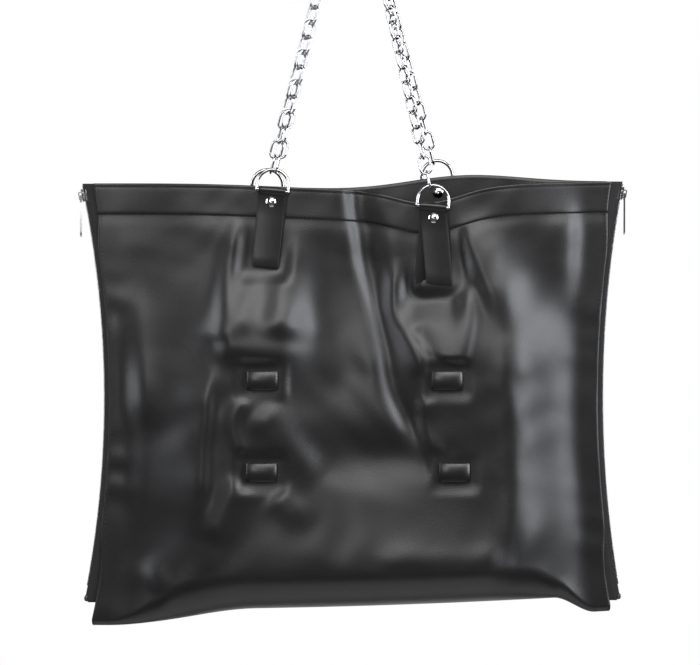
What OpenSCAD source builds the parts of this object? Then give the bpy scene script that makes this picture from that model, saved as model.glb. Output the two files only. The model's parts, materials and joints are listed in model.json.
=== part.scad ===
// Large soft tote with zipped sides, hung by its two chain handles.
// Origin: the point where a hook carries both chains. +X right, +Y to the rear, +Z up. Millimetres.

/* [Bag body] */
// Width between the two rows of zip teeth, at their ends
bag_width = 504; // [470:1:540]
// Height of a side zip, end to end
zip_height = 392; // [366:1:424]
// Height of the hook above the rim, at the sides
handle_drop = 242; // [225:1:270]
// How much lower the left side hangs than the right one
left_side_drop = 2; // [0:0.5:8]
// How far the left side is drawn in at mid height
pinch_left = 20; // [14:0.5:24]
// How far the right side is drawn in at mid height
pinch_right = 18; // [12:0.5:24]
// How far the front stands out over its side edges
front_bulge = 34; // [28:1:40]
// How far the rear stands out over its side edges
rear_bulge = 22; // [16:1:28]
// Sag of both rims at the middle
rim_sag = 7; // [2:0.5:9]
// Dip of the front rim at its right tab
front_rim_dip = 13; // [6:0.5:16]
// Rise of the rear rim at its right tab
rear_rim_rise = 11; // [4:0.5:13]
// How far the left bottom corner hangs under its zip
left_corner_drop = 23; // [15:0.5:26]
// How far the right bottom corner hangs under its zip
right_corner_drop = 11.5; // [11:0.5:18]
// How far the bottom lies above the line of the corners
base_lift = 15; // [8:0.5:20]
// Sag of the bottom at its middle
base_sag = 4; // [0:0.5:6]

/* [Leather and lining] */
// Thickness of the outer panels
panel_t = 1.4; // [1:0.1:2]
// Thickness of the facing inside the rim
facing_t = 1; // [0.6:0.1:1.4]
// Depth of the facing and of the stitched band at the rim
hem_depth = 30; // [24:1:36]
// Thickness of the lining
lining_t = 0.5; // [0.3:0.1:0.8]
// How far the lining hangs back behind the panels' bulge
lining_slack = 14; // [12:0.5:16]
// Thickness of the strap leather of tabs and keepers
strap_t = 1.8; // [1.4:0.1:2.2]

/* [Side zips] */
// Thickness of the zip tape
tape_t = 0.6; // [0.4:0.1:0.8]
// Width of tape left bare between teeth and panel
tape_show = 11; // [10:0.5:14]
// Width of tape sewn under the panel
tape_lap = 13; // [10:0.5:15]
// Distance between the two tapes of one zip
tape_apart = 18; // [17:0.5:22]
// Pitch of the teeth on one tape
tooth_pitch = 3; // [3:0.1:4]
// Height of a tooth across the tape
tooth_h = 2.2; // [1.8:0.1:2.6]
// Length of the slider
slider_len = 12; // [11:0.5:14]
// Width of the slider's shoulders
slider_w = 9.6; // [9:0.1:11]
// Thickness of each slider plate
slider_plate_t = 1.2; // [1:0.1:1.5]
// Length of the pull from its bar to its tip
pull_len = 38; // [30:1:46]
// Width of the pull at its tip
pull_w = 7; // [6.4:0.1:9]
// Thickness of the pull
pull_t = 1.6; // [1.2:0.1:1.9]

/* [Tabs, rings and rivets] */
// Width of a tab
tab_w = 25; // [22:0.5:27]
// Length of a tab below its ring
tab_len = 74; // [60:1:84]
// Distance of each front tab from the middle
front_tab_x = 74; // [66:1:84]
// Distance of each rear tab from the middle
rear_tab_x = 80; // [72:1:92]
// Lean of the front right tab
front_right_lean = 11; // [0:0.5:13]
// Wire diameter of a ring
ring_wire = 3; // [2.6:0.1:3.4]
// Clear width inside a ring
ring_inside = 26; // [25.5:0.5:30]
// Straight side of a ring, from its bar to its bow
ring_side = 5; // [4:0.5:9]
// Diameter of a rivet cap
rivet_cap_d = 9.6; // [8:0.1:11]
// Diameter of a rivet post
rivet_post_d = 3; // [2.5:0.1:3.5]
// Distance of a rivet below the ring's bar
rivet_drop = 10.5; // [9.5:0.5:13]

/* [Chains] */
// Wire diameter of a link
link_wire = 2.2; // [1.8:0.1:2.4]
// Outer width of a link
link_w = 12.4; // [11.4:0.1:13.4]
// Wanted pitch of the links
link_pitch = 14.6; // [13.6:0.1:16]
// Radius of a chain's turn over the hook
hook_turn = 18; // [17:0.5:24]
// Distance between the two chains on the hook
chain_gap = 15; // [14.5:0.5:24]
// Twist of the links away from the rings
link_twist = 45; // [0:5:45]

/* [Keepers] */
// Width of a keeper
keeper_w = 28; // [25:0.5:30]
// Height of a keeper
keeper_h = 17; // [14:0.5:20]
// Room for a strap behind a keeper
keeper_gap = 3.4; // [2.4:0.1:4]
// Length of a keeper's sewn end inside the panel
keeper_flap = 9; // [6:0.5:10]

/* [Hidden] */

// Names of the sides and faces
LEFT = 0;
RIGHT = 1;
FRONT = -1;
REAR = 1;

// Colours
leather_black = [0.07, 0.07, 0.075];
lining_grey = [0.16, 0.16, 0.17];
tape_black = [0.04, 0.04, 0.04];
bright_steel = [0.82, 0.83, 0.85];
tooth_steel = [0.62, 0.62, 0.64];

// Clearance between sewn layers, and between a metal piece and what it moves on
sewn_gap = 0.3;
run_gap = 0.2;

// Smoothing helpers: an S-shaped ramp from 0 to 1, a bell and a straight blend
function ramp(t) = let (c = min(max(t, 0), 1)) c * c * (3 - 2 * c);
function bell(t) = exp(-t * t);
function lerp(a, b, t) = a + (b - a) * t;
function sum(list, i = 0) = i < len(list) ? list[i] + sum(list, i + 1) : 0;
function product(list, i = 0) = i < len(list) ? list[i] * product(list, i + 1) : 1;

// Side zips: each runs along an arc whose centre lies outside the bag
function sign_of(side) = side == LEFT ? -1 : 1;
function pinch(side) = side == LEFT ? pinch_left : pinch_right;
function zip_top(side) = -handle_drop - (side == LEFT ? left_side_drop : 0);
function zip_mid(side) = zip_top(side) - zip_height / 2;
function zip_r(side) = (pow(zip_height / 2, 2) + pow(pinch(side), 2)) / (2 * pinch(side));
function zip_centre(side) = bag_width / 2 - pinch(side) + zip_r(side);
function arc_x(side, inward, z) =
    sign_of(side) * (zip_centre(side) - sqrt(pow(zip_r(side) + inward, 2) - pow(z - zip_mid(side), 2)));
function edge_x(side, z) = arc_x(side, tape_show, z);
function corner_drop(side) = side == LEFT ? left_corner_drop : right_corner_drop;

// Panel skins: depth is measured outwards from the middle plane of the bag
side_depth = tape_apart / 2 + tape_t / 2 + sewn_gap + panel_t;
flat_edge = tape_lap + 1;
left_run = 105;
right_run = 80;
rim_share = 0.42;
rim_flat = 65;
rim_run = 110;
seam_gap = 0.4;
side_turn = 7;
belly_turn = 40;

// Places and widths of the rim's sag, dip and rise, as shares of half the bag's width
sag_mid = 0.1;
sag_share = 0.5;
dip_share = 0.17;
rise_past = 0.1;
rise_share = 0.32;

// Runs of the base's lift and of the turn under it, as shares of the bag's width
base_left_run = 0.28;
base_right_run = 0.12;
left_turn_run = 0.16;
right_turn_run = 0.14;

function across(u) = lerp(-1, 1, u);
function rim_z(face, u) =
    lerp(zip_top(LEFT), zip_top(RIGHT), u) - rim_sag * bell((across(u) - sag_mid) / sag_share)
    + (face == FRONT
        ? -front_rim_dip * bell((across(u) - front_tab_x / (bag_width / 2)) / dip_share)
        : rear_rim_rise * bell((across(u) - rear_tab_x / (bag_width / 2) - rise_past) / rise_share));
function corner_z(side) = zip_top(side) - zip_height - corner_drop(side);
function base_z(u) =
    lerp(corner_z(LEFT), corner_z(RIGHT), u)
    + base_lift * ramp((u - lap_run) / base_left_run) * ramp((1 - u - lap_run) / base_right_run)
    - base_sag * (1 - pow(across(u), 2));
lap_run = flat_edge / (bag_width - 2 * tape_show);
function side_share(u) =
    ramp((u - lap_run) / left_turn_run) * ramp((1 - u - lap_run) / right_turn_run);
function turn_h(u) = lerp(side_turn, belly_turn, side_share(u));

// Share of the full bulge at a place: none along the zips, part of it at the rim
function bulge_share(x, z) =
    ramp((x - edge_x(LEFT, z) - flat_edge) / left_run)
    * ramp((edge_x(RIGHT, z) - x - flat_edge) / right_run)
    * lerp(rim_share, 1, ramp((-handle_drop - rim_flat - z) / rim_run));

// Main folds of the front: [height, half width, points of the crest as x, z]
front_folds = [
    [5, 11, [[-99, -299], [-120, -342], [-126, -395], [-138, -511]]],
    [4, 11, [[-58, -289], [-43, -342], [-41, -381]]],
    [7, 10, [[-4, -250], [0, -303], [13, -357], [25, -415], [46, -463]]],
    [-6, 13, [[25, -290], [29, -328], [48, -381]]],
    [-6, 13, [[106, -318], [125, -366], [127, -424]]],
    [6, 15, [[133, -328], [148, -395], [148, -511], [141, -579]]],
    [-7, 30, [[-36, -463], [7, -482], [51, -468]]],
    [5, 12, [[-60, -526], [-12, -540], [46, -535], [80, -521]]],
    [5, 12, [[-107, -531], [-126, -564]]],
    [6, 9, [[-196, -598], [-180, -616]]]
];
function to_segment(p, a, b) =
    let (ab = b - a, t = min(max((p - a) * ab / (ab * ab), 0), 1)) norm(p - a - ab * t);
function to_line(p, line) = min([for (k = [0 : len(line) - 2]) to_segment(p, line[k], line[k + 1])]);
function fold_rise(x, z) = sum([for (f = front_folds) f[0] * bell(to_line([x, z], f[2]) / f[1])]);

// Rings: a bar runs through the loop of each tab, in line with the other tab of its face
bar_gap = 0.1;
loop_r = ring_wire / 2 + bar_gap + strap_t;
ring_bow_r = (ring_inside + ring_wire) / 2;
front_seat = 26;
rear_seat = 19;
function seat_of(face) = face == FRONT ? front_seat : rear_seat;
function tab_x(face) = face == FRONT ? front_tab_x : rear_tab_x;
function bar_y(face) = face * (seat_of(face) + sewn_gap + loop_r);
function u_at(x) = 0.5 + x / (bag_width - 2 * tape_show);
function bar_z(face, side) = rim_z(face, u_at(sign_of(side) * tab_x(face))) - loop_r;
function bar_at(face, side) = [sign_of(side) * tab_x(face), bar_y(face), bar_z(face, side)];
function bar_tilt(face) = atan2(bar_z(face, LEFT) - bar_z(face, RIGHT), 2 * tab_x(face));
function tab_lean(face, side) = face == FRONT && side == RIGHT ? front_right_lean : 0;

// Flat seats under tabs and keepers: [x, z, half width, half height, depth]
keeper_depth = 43;
seat_fade = 26;
tab_seat_w = 28;
tab_seat_over = 12;
keeper_seat_w = 26;
keeper_seat_h = 18;
keepers = [[-83, -425], [87, -425], [-84, -510], [94, -510]];
function tab_seat(face, side) =
    let (z = bar_z(face, side) - tab_len / 2)
    [bar_at(face, side)[0], z, tab_seat_w, tab_len / 2 + tab_seat_over, seat_of(face)];
front_seats = [
    tab_seat(FRONT, LEFT), tab_seat(FRONT, RIGHT),
    for (k = keepers) [k[0], k[1], keeper_seat_w, keeper_seat_h, keeper_depth]
];
rear_seats = [tab_seat(REAR, LEFT), tab_seat(REAR, RIGHT)];
function seats_of(face) = face == FRONT ? front_seats : rear_seats;
function seat_weight(s, x, z) =
    ramp(1 - (abs(x - s[0]) - s[2]) / seat_fade) * ramp(1 - (abs(z - s[1]) - s[3]) / seat_fade);
function bulge_of(face) = face == FRONT ? front_bulge : rear_bulge;
fold_from = 0.2;
lining_room = 5;
function fold_depth(face, x, z) =
    face == FRONT ? fold_rise(x, z) * ramp((side_share(u_at(x)) - fold_from) / (1 - fold_from)) : 0;
function free_depth(face, x, z) =
    side_depth + bulge_share(x, z) * bulge_of(face) + fold_depth(face, x, z);
function panel_depth(face, x, z) =
    let (seats = seats_of(face), w = [for (s = seats) seat_weight(s, x, z)])
    lerp(free_depth(face, x, z),
         sum([for (i = [0 : len(seats) - 1]) w[i] * seats[i][4]]) / max(sum(w), 0.001),
         1 - product([for (a = w) 1 - a]));
function lining_depth(face, x, z) =
    let (share = bulge_share(x, z))
    min(side_depth + share * (bulge_of(face) - lining_slack),
        panel_depth(face, x, z) - lining_room * share);

// Grid of a skin: columns across, then rows of the hem, the drop and the turn under the base
columns = 40;
hem_rows = 3;
drop_rows = 26;
turn_rows = 5;
rear_columns = 24;
all_rows = hem_rows + drop_rows + turn_rows;
function columns_of(face) = face == FRONT ? columns : rear_columns;
function row_z(face, u, k) =
    let (rim = rim_z(face, u), turn = base_z(u) + turn_h(u))
    k <= hem_rows ? rim - hem_depth * k / hem_rows
    : lerp(rim - hem_depth, turn, min((k - hem_rows) / drop_rows, 1));
function turn_angle(k) = 90 * max(k - hem_rows - drop_rows, 0) / turn_rows;
function skin_point(face, u, k, skin) =
    let (z = row_z(face, u, k),
         x = lerp(edge_x(LEFT, z), edge_x(RIGHT, z), u),
         depth = skin[0](face, x, z) - seam_gap,
         a = turn_angle(k))
    [x, face * (seam_gap + depth * cos(a)), z - (turn_h(u) - skin[1](u)) * sin(a)];

// Layers under the outer skin: the tape lies between panel and facing along the sides
tape_room = tape_t + sewn_gap;
tape_fade = 25;
function near_side(x, z) =
    1 - ramp((min(x - edge_x(LEFT, z), edge_x(RIGHT, z) - x) - flat_edge) / tape_fade);
function layer_gap(x, z) = panel_t + sewn_gap + tape_room * near_side(x, z);
function base_gap(u) = panel_t + sewn_gap + tape_room + lining_slack / 3 * side_share(u);
// Skins, each with its depth and its height above the panel's base
panel_outside = [
    function (face, x, z) panel_depth(face, x, z),
    function (u) 0
];
panel_inside = [
    function (face, x, z) panel_depth(face, x, z) - panel_t,
    function (u) panel_t
];
facing_outside = [
    function (face, x, z) panel_depth(face, x, z) - layer_gap(x, z),
    function (u) 0
];
facing_inside = [
    function (face, x, z) panel_depth(face, x, z) - layer_gap(x, z) - facing_t,
    function (u) 0
];
lining_outside = [
    function (face, x, z) lining_depth(face, x, z) - layer_gap(x, z),
    function (u) base_gap(u)
];
lining_inside = [
    function (face, x, z) lining_depth(face, x, z) - layer_gap(x, z) - lining_t,
    function (u) base_gap(u) + lining_t
];
panel_rows = [0 : all_rows];
facing_rows = [0 : hem_rows];
lining_drops = 11;
lining_start = hem_rows + 0.03;
lining_rows = [
    for (i = [0 : lining_drops - 1]) lining_start + drop_rows * i / lining_drops,
    for (k = [hem_rows + drop_rows : all_rows]) k
];

// Closed sheet between two skins, over the given rows
module sheet(face, row_range, outside, inside) {
    rows = [for (k = row_range) k];
    n = columns_of(face);
    m = len(rows) - 1;
    row = n + 1;
    points = [
        for (skin = [outside, inside], k = rows, i = [0 : n]) skin_point(face, i / n, k, skin)
    ];
    function quad(a, b, c, d) = face == FRONT ? [[a, b, c], [a, c, d]] : [[c, b, a], [d, c, a]];
    function at(layer, k, i) = (layer * (m + 1) + k) * row + i;
    faces = [
        for (k = [0 : m - 1], i = [0 : n - 1]) each concat(
            quad(at(0, k, i), at(0, k, i + 1), at(0, k + 1, i + 1), at(0, k + 1, i)),
            quad(at(1, k, i), at(1, k + 1, i), at(1, k + 1, i + 1), at(1, k, i + 1))),
        for (i = [0 : n - 1]) each concat(
            quad(at(1, 0, i), at(1, 0, i + 1), at(0, 0, i + 1), at(0, 0, i)),
            quad(at(0, m, i), at(0, m, i + 1), at(1, m, i + 1), at(1, m, i))),
        for (k = [0 : m - 1]) each concat(
            quad(at(1, k, 0), at(0, k, 0), at(0, k + 1, 0), at(1, k + 1, 0)),
            quad(at(0, k, n), at(1, k, n), at(1, k + 1, n), at(0, k + 1, n)))
    ];
    polyhedron(points, faces, convexity = 10);
}

// Places that carry pieces
module at_bar(face, side) {
    translate(bar_at(face, side)) rotate([0, bar_tilt(face), 0]) children();
}
// Frame of a tab: x along the bar, y out of the panel, z up along the strap
module at_tab(face, side) {
    at_bar(face, side) mirror([0, face == FRONT ? 1 : 0, 0]) children();
}
module at_rivet(face, side) {
    at_tab(face, side)
        translate([rivet_drop * tan(tab_lean(face, side)), 0, -rivet_drop]) children();
}
module at_keeper(index) {
    translate([keepers[index][0], -keeper_depth, keepers[index][1]]) children();
}
// Frame of a zip: x inwards from the arc's centre, y up along the arc, z to the front
module at_zip(side) {
    translate([sign_of(side) * zip_centre(side), 0, zip_mid(side)])
        mirror([side, 0, 0]) rotate([90, 0, 0]) children();
}
module on_teeth(side, angle) {
    at_zip(side) rotate([0, 0, angle]) translate([zip_r(side), 0, 0]) children();
}

// Panels, facings and lining
rivet_hole_d = rivet_post_d + 2 * run_gap;
slit_long = keeper_h + 2 * run_gap;
slit_wide = strap_t + 2 * run_gap;
through = 30;
module rivet_holes(face) {
    for (side = [LEFT, RIGHT])
        at_rivet(face, side) rotate([90, 0, 0])
            cylinder(d = rivet_hole_d, h = 2 * through, center = true, $fn = 32);
}
module keeper_slits() {
    for (k = [0 : len(keepers) - 1], end = [-1, 1])
        at_keeper(k) translate([end * (keeper_w - strap_t) / 2, 0, 0])
            cube([slit_wide, 2 * keeper_gap, slit_long], center = true);
}
module front_panel() {
    color(leather_black) difference() {
        sheet(FRONT, panel_rows, panel_outside, panel_inside);
        rivet_holes(FRONT);
        keeper_slits();
    }
}
module rear_panel() {
    color(leather_black) difference() {
        sheet(REAR, panel_rows, panel_outside, panel_inside);
        rivet_holes(REAR);
    }
}
module facing(face) {
    color(leather_black) difference() {
        sheet(face, facing_rows, facing_outside, facing_inside);
        rivet_holes(face);
    }
}
module lining(face) {
    color(lining_grey) sheet(face, lining_rows, lining_outside, lining_inside);
}

// Tab: a strap folded over the ring's bar, both leaves lying on the panel
loop_lap = 0.1;
leaf_back = loop_lap - loop_r;
leaf_front = leaf_back + 2 * strap_t;
cap_room = 0.4;
taper = rivet_drop - rivet_cap_d / 2 - cap_room;
module tab_leaves() {
    polygon([
        [leaf_back, 0], [loop_r - loop_lap, 0], [leaf_front, -taper],
        [leaf_front, -tab_len], [leaf_back, -tab_len]
    ]);
}
tab_cut = 2;
module tab_outline(lean) {
    foot = tab_len * tan(lean);
    half = tab_w / 2;
    polygon([
        [-half, loop_r + 1], [half, loop_r + 1], [half, 0],
        [foot + half, -tab_len + tab_cut], [foot + half - tab_cut, -tab_len],
        [foot - half + tab_cut, -tab_len], [foot - half, -tab_len + tab_cut], [-half, 0]
    ]);
}
module tab(face, side) {
    lean = tab_lean(face, side);
    reach = tab_w + 2 * tab_len * tan(lean);
    color(leather_black) difference() {
        at_tab(face, side) intersection() {
            union() {
                rotate([0, 90, 0]) cylinder(r = loop_r, h = reach, center = true, $fn = 48);
                rotate([90, 0, 90]) linear_extrude(reach, center = true) tab_leaves();
            }
            rotate([90, 0, 0]) linear_extrude(4 * loop_r, center = true) tab_outline(lean);
        }
        at_tab(face, side) rotate([0, 90, 0])
            cylinder(d = ring_wire + 2 * bar_gap, h = 2 * reach, center = true, $fn = 48);
        rivet_holes(face);
    }
}

// Double-cap rivets: stud with post outside, back cap inside
cap_h = 2;
back_cap_h = 1.4;
post_lap = 0.1;
stack_end = -loop_r - sewn_gap - panel_t - sewn_gap - facing_t;
module rivet_dome(d, h) {
    r = (d * d / 4 + h * h) / (2 * h);
    rotate_extrude($fn = 48) intersection() {
        translate([0, h - r]) circle(r = r, $fn = 96);
        square([d, h]);
    }
}
module rivet_studs() {
    color(bright_steel) for (face = [FRONT, REAR], side = [LEFT, RIGHT])
        at_rivet(face, side) rotate([-90, 0, 0]) {
            translate([0, 0, leaf_front + run_gap]) rivet_dome(rivet_cap_d, cap_h);
            translate([0, 0, stack_end - run_gap])
                cylinder(d = rivet_post_d, h = leaf_front - stack_end + 2 * run_gap + post_lap, $fn = 32);
        }
}
module rivet_backs() {
    color(bright_steel) for (face = [FRONT, REAR], side = [LEFT, RIGHT])
        at_rivet(face, side) rotate([90, 0, 0])
            translate([0, 0, -stack_end + run_gap]) rivet_dome(rivet_cap_d, back_cap_h);
}

// Handle frame: origin midway between the two bars of a face, x along them, z towards the hook
function middle(face) = (bar_at(face, LEFT) + bar_at(face, RIGHT)) / 2;
function bar_line(face) = let (d = bar_at(face, RIGHT) - bar_at(face, LEFT)) d / norm(d);
function half_span(face) = norm(bar_at(face, RIGHT) - bar_at(face, LEFT)) / 2;
function hook_centre(face) = [0, face * chain_gap / 2, link_w / 2 - hook_turn];
function handle_up(face) =
    let (d = hook_centre(face) - middle(face), e = bar_line(face), p = d - e * (d * e)) p / norm(p);
function handle_back(face) = cross(handle_up(face), bar_line(face));
function to_handle(face, p) =
    let (d = p - middle(face)) [d * bar_line(face), d * handle_up(face)];
module at_handle(face) {
    e = bar_line(face);
    n = handle_back(face);
    w = handle_up(face);
    m = middle(face);
    multmatrix([
        [e[0], n[0], w[0], m[0]], [e[1], n[1], w[1], m[1]], [e[2], n[2], w[2], m[2]], [0, 0, 0, 1]
    ]) children();
}

// D-shaped ring: bar along x through the origin, bow upwards
module ring(face, side) {
    color(bright_steel) at_handle(face) translate([sign_of(side) * half_span(face), 0, 0]) {
        rotate([0, 90, 0]) cylinder(d = ring_wire, h = 2 * ring_bow_r, center = true, $fn = 32);
        for (end = [-1, 1]) translate([end * ring_bow_r, 0, 0]) {
            sphere(d = ring_wire, $fn = 32);
            cylinder(d = ring_wire, h = ring_side, $fn = 32);
        }
        translate([0, 0, ring_side]) rotate([90, 0, 0])
            rotate_extrude(angle = 180, $fn = 96)
                translate([ring_bow_r, 0]) circle(d = ring_wire, $fn = 32);
    }
}

// Chain route in the handle frame: straight legs from both rings, and a turn over the hook between them
function bow_centre(face, side) = [sign_of(side) * half_span(face), ring_side];
function hook_in(face) = to_handle(face, hook_centre(face));
function leg_dir(face, side) =
    let (d = hook_in(face) - bow_centre(face, side),
         a = atan2(d[1], d[0]) - sign_of(side) * asin(hook_turn / norm(d)))
    [cos(a), sin(a)];
function leg_start(face, side) =
    bow_centre(face, side) + leg_dir(face, side) * (ring_bow_r - ring_wire / 2 - run_gap / 2);
function leg_end(face, side) =
    let (d = leg_dir(face, side)) hook_in(face) + sign_of(side) * hook_turn * [d[1], -d[0]];
function leg_len(face, side) = norm(leg_end(face, side) - leg_start(face, side));
function turn_deg(face) =
    let (a = leg_dir(face, LEFT), b = leg_dir(face, RIGHT)) 180 - acos(a * b);
function turn_len(face) = hook_turn * turn_deg(face) * PI / 180;
function route_len(face) = leg_len(face, LEFT) + turn_len(face) + leg_len(face, RIGHT);
function route(face, s) =
    let (first = leg_len(face, LEFT), bend = turn_len(face))
    s <= first ? leg_start(face, LEFT) + leg_dir(face, LEFT) * s
    : s >= first + bend ? leg_end(face, RIGHT) - leg_dir(face, RIGHT) * (s - first - bend)
    : let (d = leg_dir(face, LEFT), a = atan2(d[0], -d[1]) - (s - first) / hook_turn * 180 / PI)
      hook_in(face) + hook_turn * [cos(a), sin(a)];

// Links: an odd count, so that the first and the last one both cross their rings squarely
function link_count(face) = 2 * round((route_len(face) / link_pitch - 1) / 2) + 1;
function pitch(face) = route_len(face) / link_count(face);
function link_out(face) = pitch(face) + 2 * link_wire + run_gap;
// A link's sides are a hair thinner than its ends and reach a little into them
twist_links = 5;
weld_step = 0.01;
weld_lap = 0.2;
module link(outside) {
    bend = (link_w - link_wire) / 2;
    straight = outside - link_w;
    for (end = [0, 180]) rotate([0, end, 0]) {
        translate([0, 0, straight / 2]) rotate([90, 0, 0])
            rotate_extrude(angle = 180, $fn = 48) translate([bend, 0]) circle(d = link_wire, $fn = 24);
        translate([bend, 0, 0])
            cylinder(d = link_wire - 2 * weld_step, h = straight + 2 * weld_lap, center = true, $fn = 24);
    }
}
module chain(face) {
    n = link_count(face);
    p = pitch(face);
    color(bright_steel) at_handle(face) for (i = [0 : n - 1]) {
        a = route(face, i * p);
        b = route(face, (i + 1) * p);
        way = b - a;
        turn = (i % 2 == 0 ? 90 : 0) + link_twist * ramp(min(i, n - 1 - i) / twist_links);
        translate([(a[0] + b[0]) / 2, 0, (a[1] + b[1]) / 2])
            rotate([0, atan2(way[0], way[1]), 0]) rotate([0, 0, turn]) link(link_out(face));
    }
}

// Keeper: a strap bowed out of two slits, its ends sewn flat behind the panel
keeper_round = 1.6;
module keeper_profile() {
    out = keeper_gap + strap_t;
    half = keeper_w / 2;
    flap_top = -panel_t - sewn_gap;
    difference() {
        union() {
            translate([-half + keeper_round, 0]) square([keeper_w - 2 * keeper_round, out]);
            for (end = [-1, 1]) translate([end * (half - keeper_round), out - keeper_round])
                circle(r = keeper_round, $fn = 32);
            translate([-half, flap_top - strap_t])
                square([keeper_w, out - keeper_round - flap_top + strap_t]);
            translate([-half - keeper_flap, flap_top - strap_t])
                square([keeper_w + 2 * keeper_flap, strap_t]);
        }
        translate([-half + strap_t, flap_top - strap_t - 1])
            square([keeper_w - 2 * strap_t, keeper_gap - flap_top + strap_t + 1]);
    }
}
module keeper(index) {
    color(leather_black) at_keeper(index)
        linear_extrude(keeper_h, center = true) mirror([0, 1]) keeper_profile();
}

// Zip tape: bare edge under the teeth, a bend, and a flat part sewn under the panel
zip_clear = 0.35;
tooth_nose = 1.4;
tooth_head_d = 1.6;
tooth_head_at = 0.7;
tooth_neck = 1;
tooth_neck_at = 0.5;
tooth_leg_w = 1.7;
tooth_leg_to = 2.6;
tape_edge = 1.6;
tape_bend = 3;
function zip_half_deg(side) = asin(zip_height / 2 / zip_r(side));
function deg_of(side, length) = length / zip_r(side) * 180 / PI;
module tape_profile() {
    flat = tape_apart / 2;
    half = tape_t / 2;
    translate([-half, tape_edge]) square([tape_t, flat - tape_bend - tape_edge]);
    translate([tape_bend, flat - tape_bend]) intersection() {
        difference() {
            circle(r = tape_bend + half, $fn = 64);
            circle(r = tape_bend - half, $fn = 64);
        }
        translate([-2 * tape_bend, 0]) square(2 * tape_bend);
    }
    translate([tape_bend, flat - half]) square([tape_show + tape_lap - tape_bend, tape_t]);
}
module zip_tape(side, face) {
    reach = zip_half_deg(side);
    color(tape_black) at_zip(side) mirror([0, 0, face == FRONT ? 0 : 1])
        rotate([0, 0, -reach]) rotate_extrude(angle = 2 * reach, $fn = 720)
            translate([zip_r(side), 0]) tape_profile();
}

// Slider and stops: the slider rests just under the top stops
stop_len = 2.6;
stop_from_end = 2;
clip_back = 0.8;
bottom_stop_len = 4;
bottom_stop_over = 2;
bottom_stop_from_end = 1;
slider_rest = stop_from_end + stop_len + run_gap + slider_len / 2;
neck_len = 3;
neck_w = 1.6;
function slider_deg(side) = zip_half_deg(side) - deg_of(side, slider_rest);
teeth_from_top = slider_rest - slider_len / 2 + neck_len + run_gap + tooth_head_d / 2;
teeth_from_bottom = 9;
function teeth_count() = floor((zip_height - teeth_from_top - teeth_from_bottom) / tooth_pitch);

module tooth() {
    difference() {
        translate([-tooth_h / 2, 0, 0]) rotate([90, 0, 90]) linear_extrude(tooth_h) polygon([
            [-tooth_neck / 2, -tooth_nose], [tooth_neck / 2, -tooth_nose],
            [tooth_head_d / 2, -tooth_head_at], [tooth_neck / 2, tooth_neck_at],
            [tooth_leg_w / 2, tooth_leg_to], [-tooth_leg_w / 2, tooth_leg_to],
            [-tooth_neck / 2, tooth_neck_at], [-tooth_head_d / 2, -tooth_head_at]
        ]);
        translate([-tape_t / 2 - run_gap, -tooth_leg_w, tape_edge - run_gap])
            cube([tape_t + 2 * run_gap, 2 * tooth_leg_w, tooth_leg_to]);
    }
}
module zip_teeth(side, face) {
    offset = face == FRONT ? 0 : tooth_pitch / 2;
    color(tooth_steel) for (k = [0 : teeth_count() - 1])
        on_teeth(side, zip_half_deg(side) - deg_of(side, teeth_from_top + offset + k * tooth_pitch))
            mirror([0, 0, face == FRONT ? 0 : 1]) tooth();
}
module tape_clip(length, reach) {
    difference() {
        translate([-tooth_h / 2, -length / 2, tape_edge - clip_back]) cube([tooth_h, length, reach]);
        translate([-tape_t / 2 - run_gap, -length, tape_edge - run_gap])
            cube([tape_t + 2 * run_gap, 2 * length, reach]);
    }
}
module zip_top_stops(side) {
    color(tooth_steel) for (face = [0, 1])
        on_teeth(side, zip_half_deg(side) - deg_of(side, stop_from_end + stop_len / 2))
            mirror([0, 0, face]) tape_clip(stop_len, tooth_leg_to - tape_edge + clip_back);
}
module zip_bottom_stop(side) {
    length = bottom_stop_len;
    half = tape_edge + bottom_stop_over;
    place = -zip_half_deg(side) + deg_of(side, length / 2 + bottom_stop_from_end);
    color(tooth_steel) on_teeth(side, place) difference() {
        cube([tooth_h, length, 2 * half], center = true);
        for (end = [0, 1]) mirror([0, 0, end])
            translate([-tape_t / 2 - run_gap, -length, tape_edge - run_gap])
                cube([tape_t + 2 * run_gap, 2 * length, half]);
    }
}

// Slider: two plates joined by a neck, flanges that leave a slot for the tape, a bridge for the pull
plate_in = tooth_h / 2 + zip_clear;
plate_out = plate_in + slider_plate_t;
bridge_w = 2.4;
bridge_h = 3.4;
bridge_t = 1.1;
bridge_len = 8;
bridge_cut = 1;
bridge_lap = 0.1;
bar_d = 1.7;
bar_off = plate_out + (bridge_h - bridge_t) / 2;
slider_taper = 0.9;
slider_foot = slider_w / 2 - slider_taper;
foot_cut = 0.8;
shoulder_len = 4;
shoulder_cut = 1.2;
shoulder_slope = 1.6;
module slider_outline() {
    half = slider_len / 2;
    top = slider_w / 2;
    polygon([
        [-half, -slider_foot + foot_cut], [-half + foot_cut, -slider_foot],
        [half - shoulder_len, -top], [half - shoulder_cut, -top],
        [half, -top + shoulder_slope], [half, top - shoulder_slope],
        [half - shoulder_cut, top], [half - shoulder_len, top],
        [-half + foot_cut, slider_foot], [-half, slider_foot - foot_cut]
    ]);
}
module slider_layer(from, to) {
    translate([from, 0, 0]) rotate([90, 0, 90]) linear_extrude(to - from) children();
}
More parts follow.
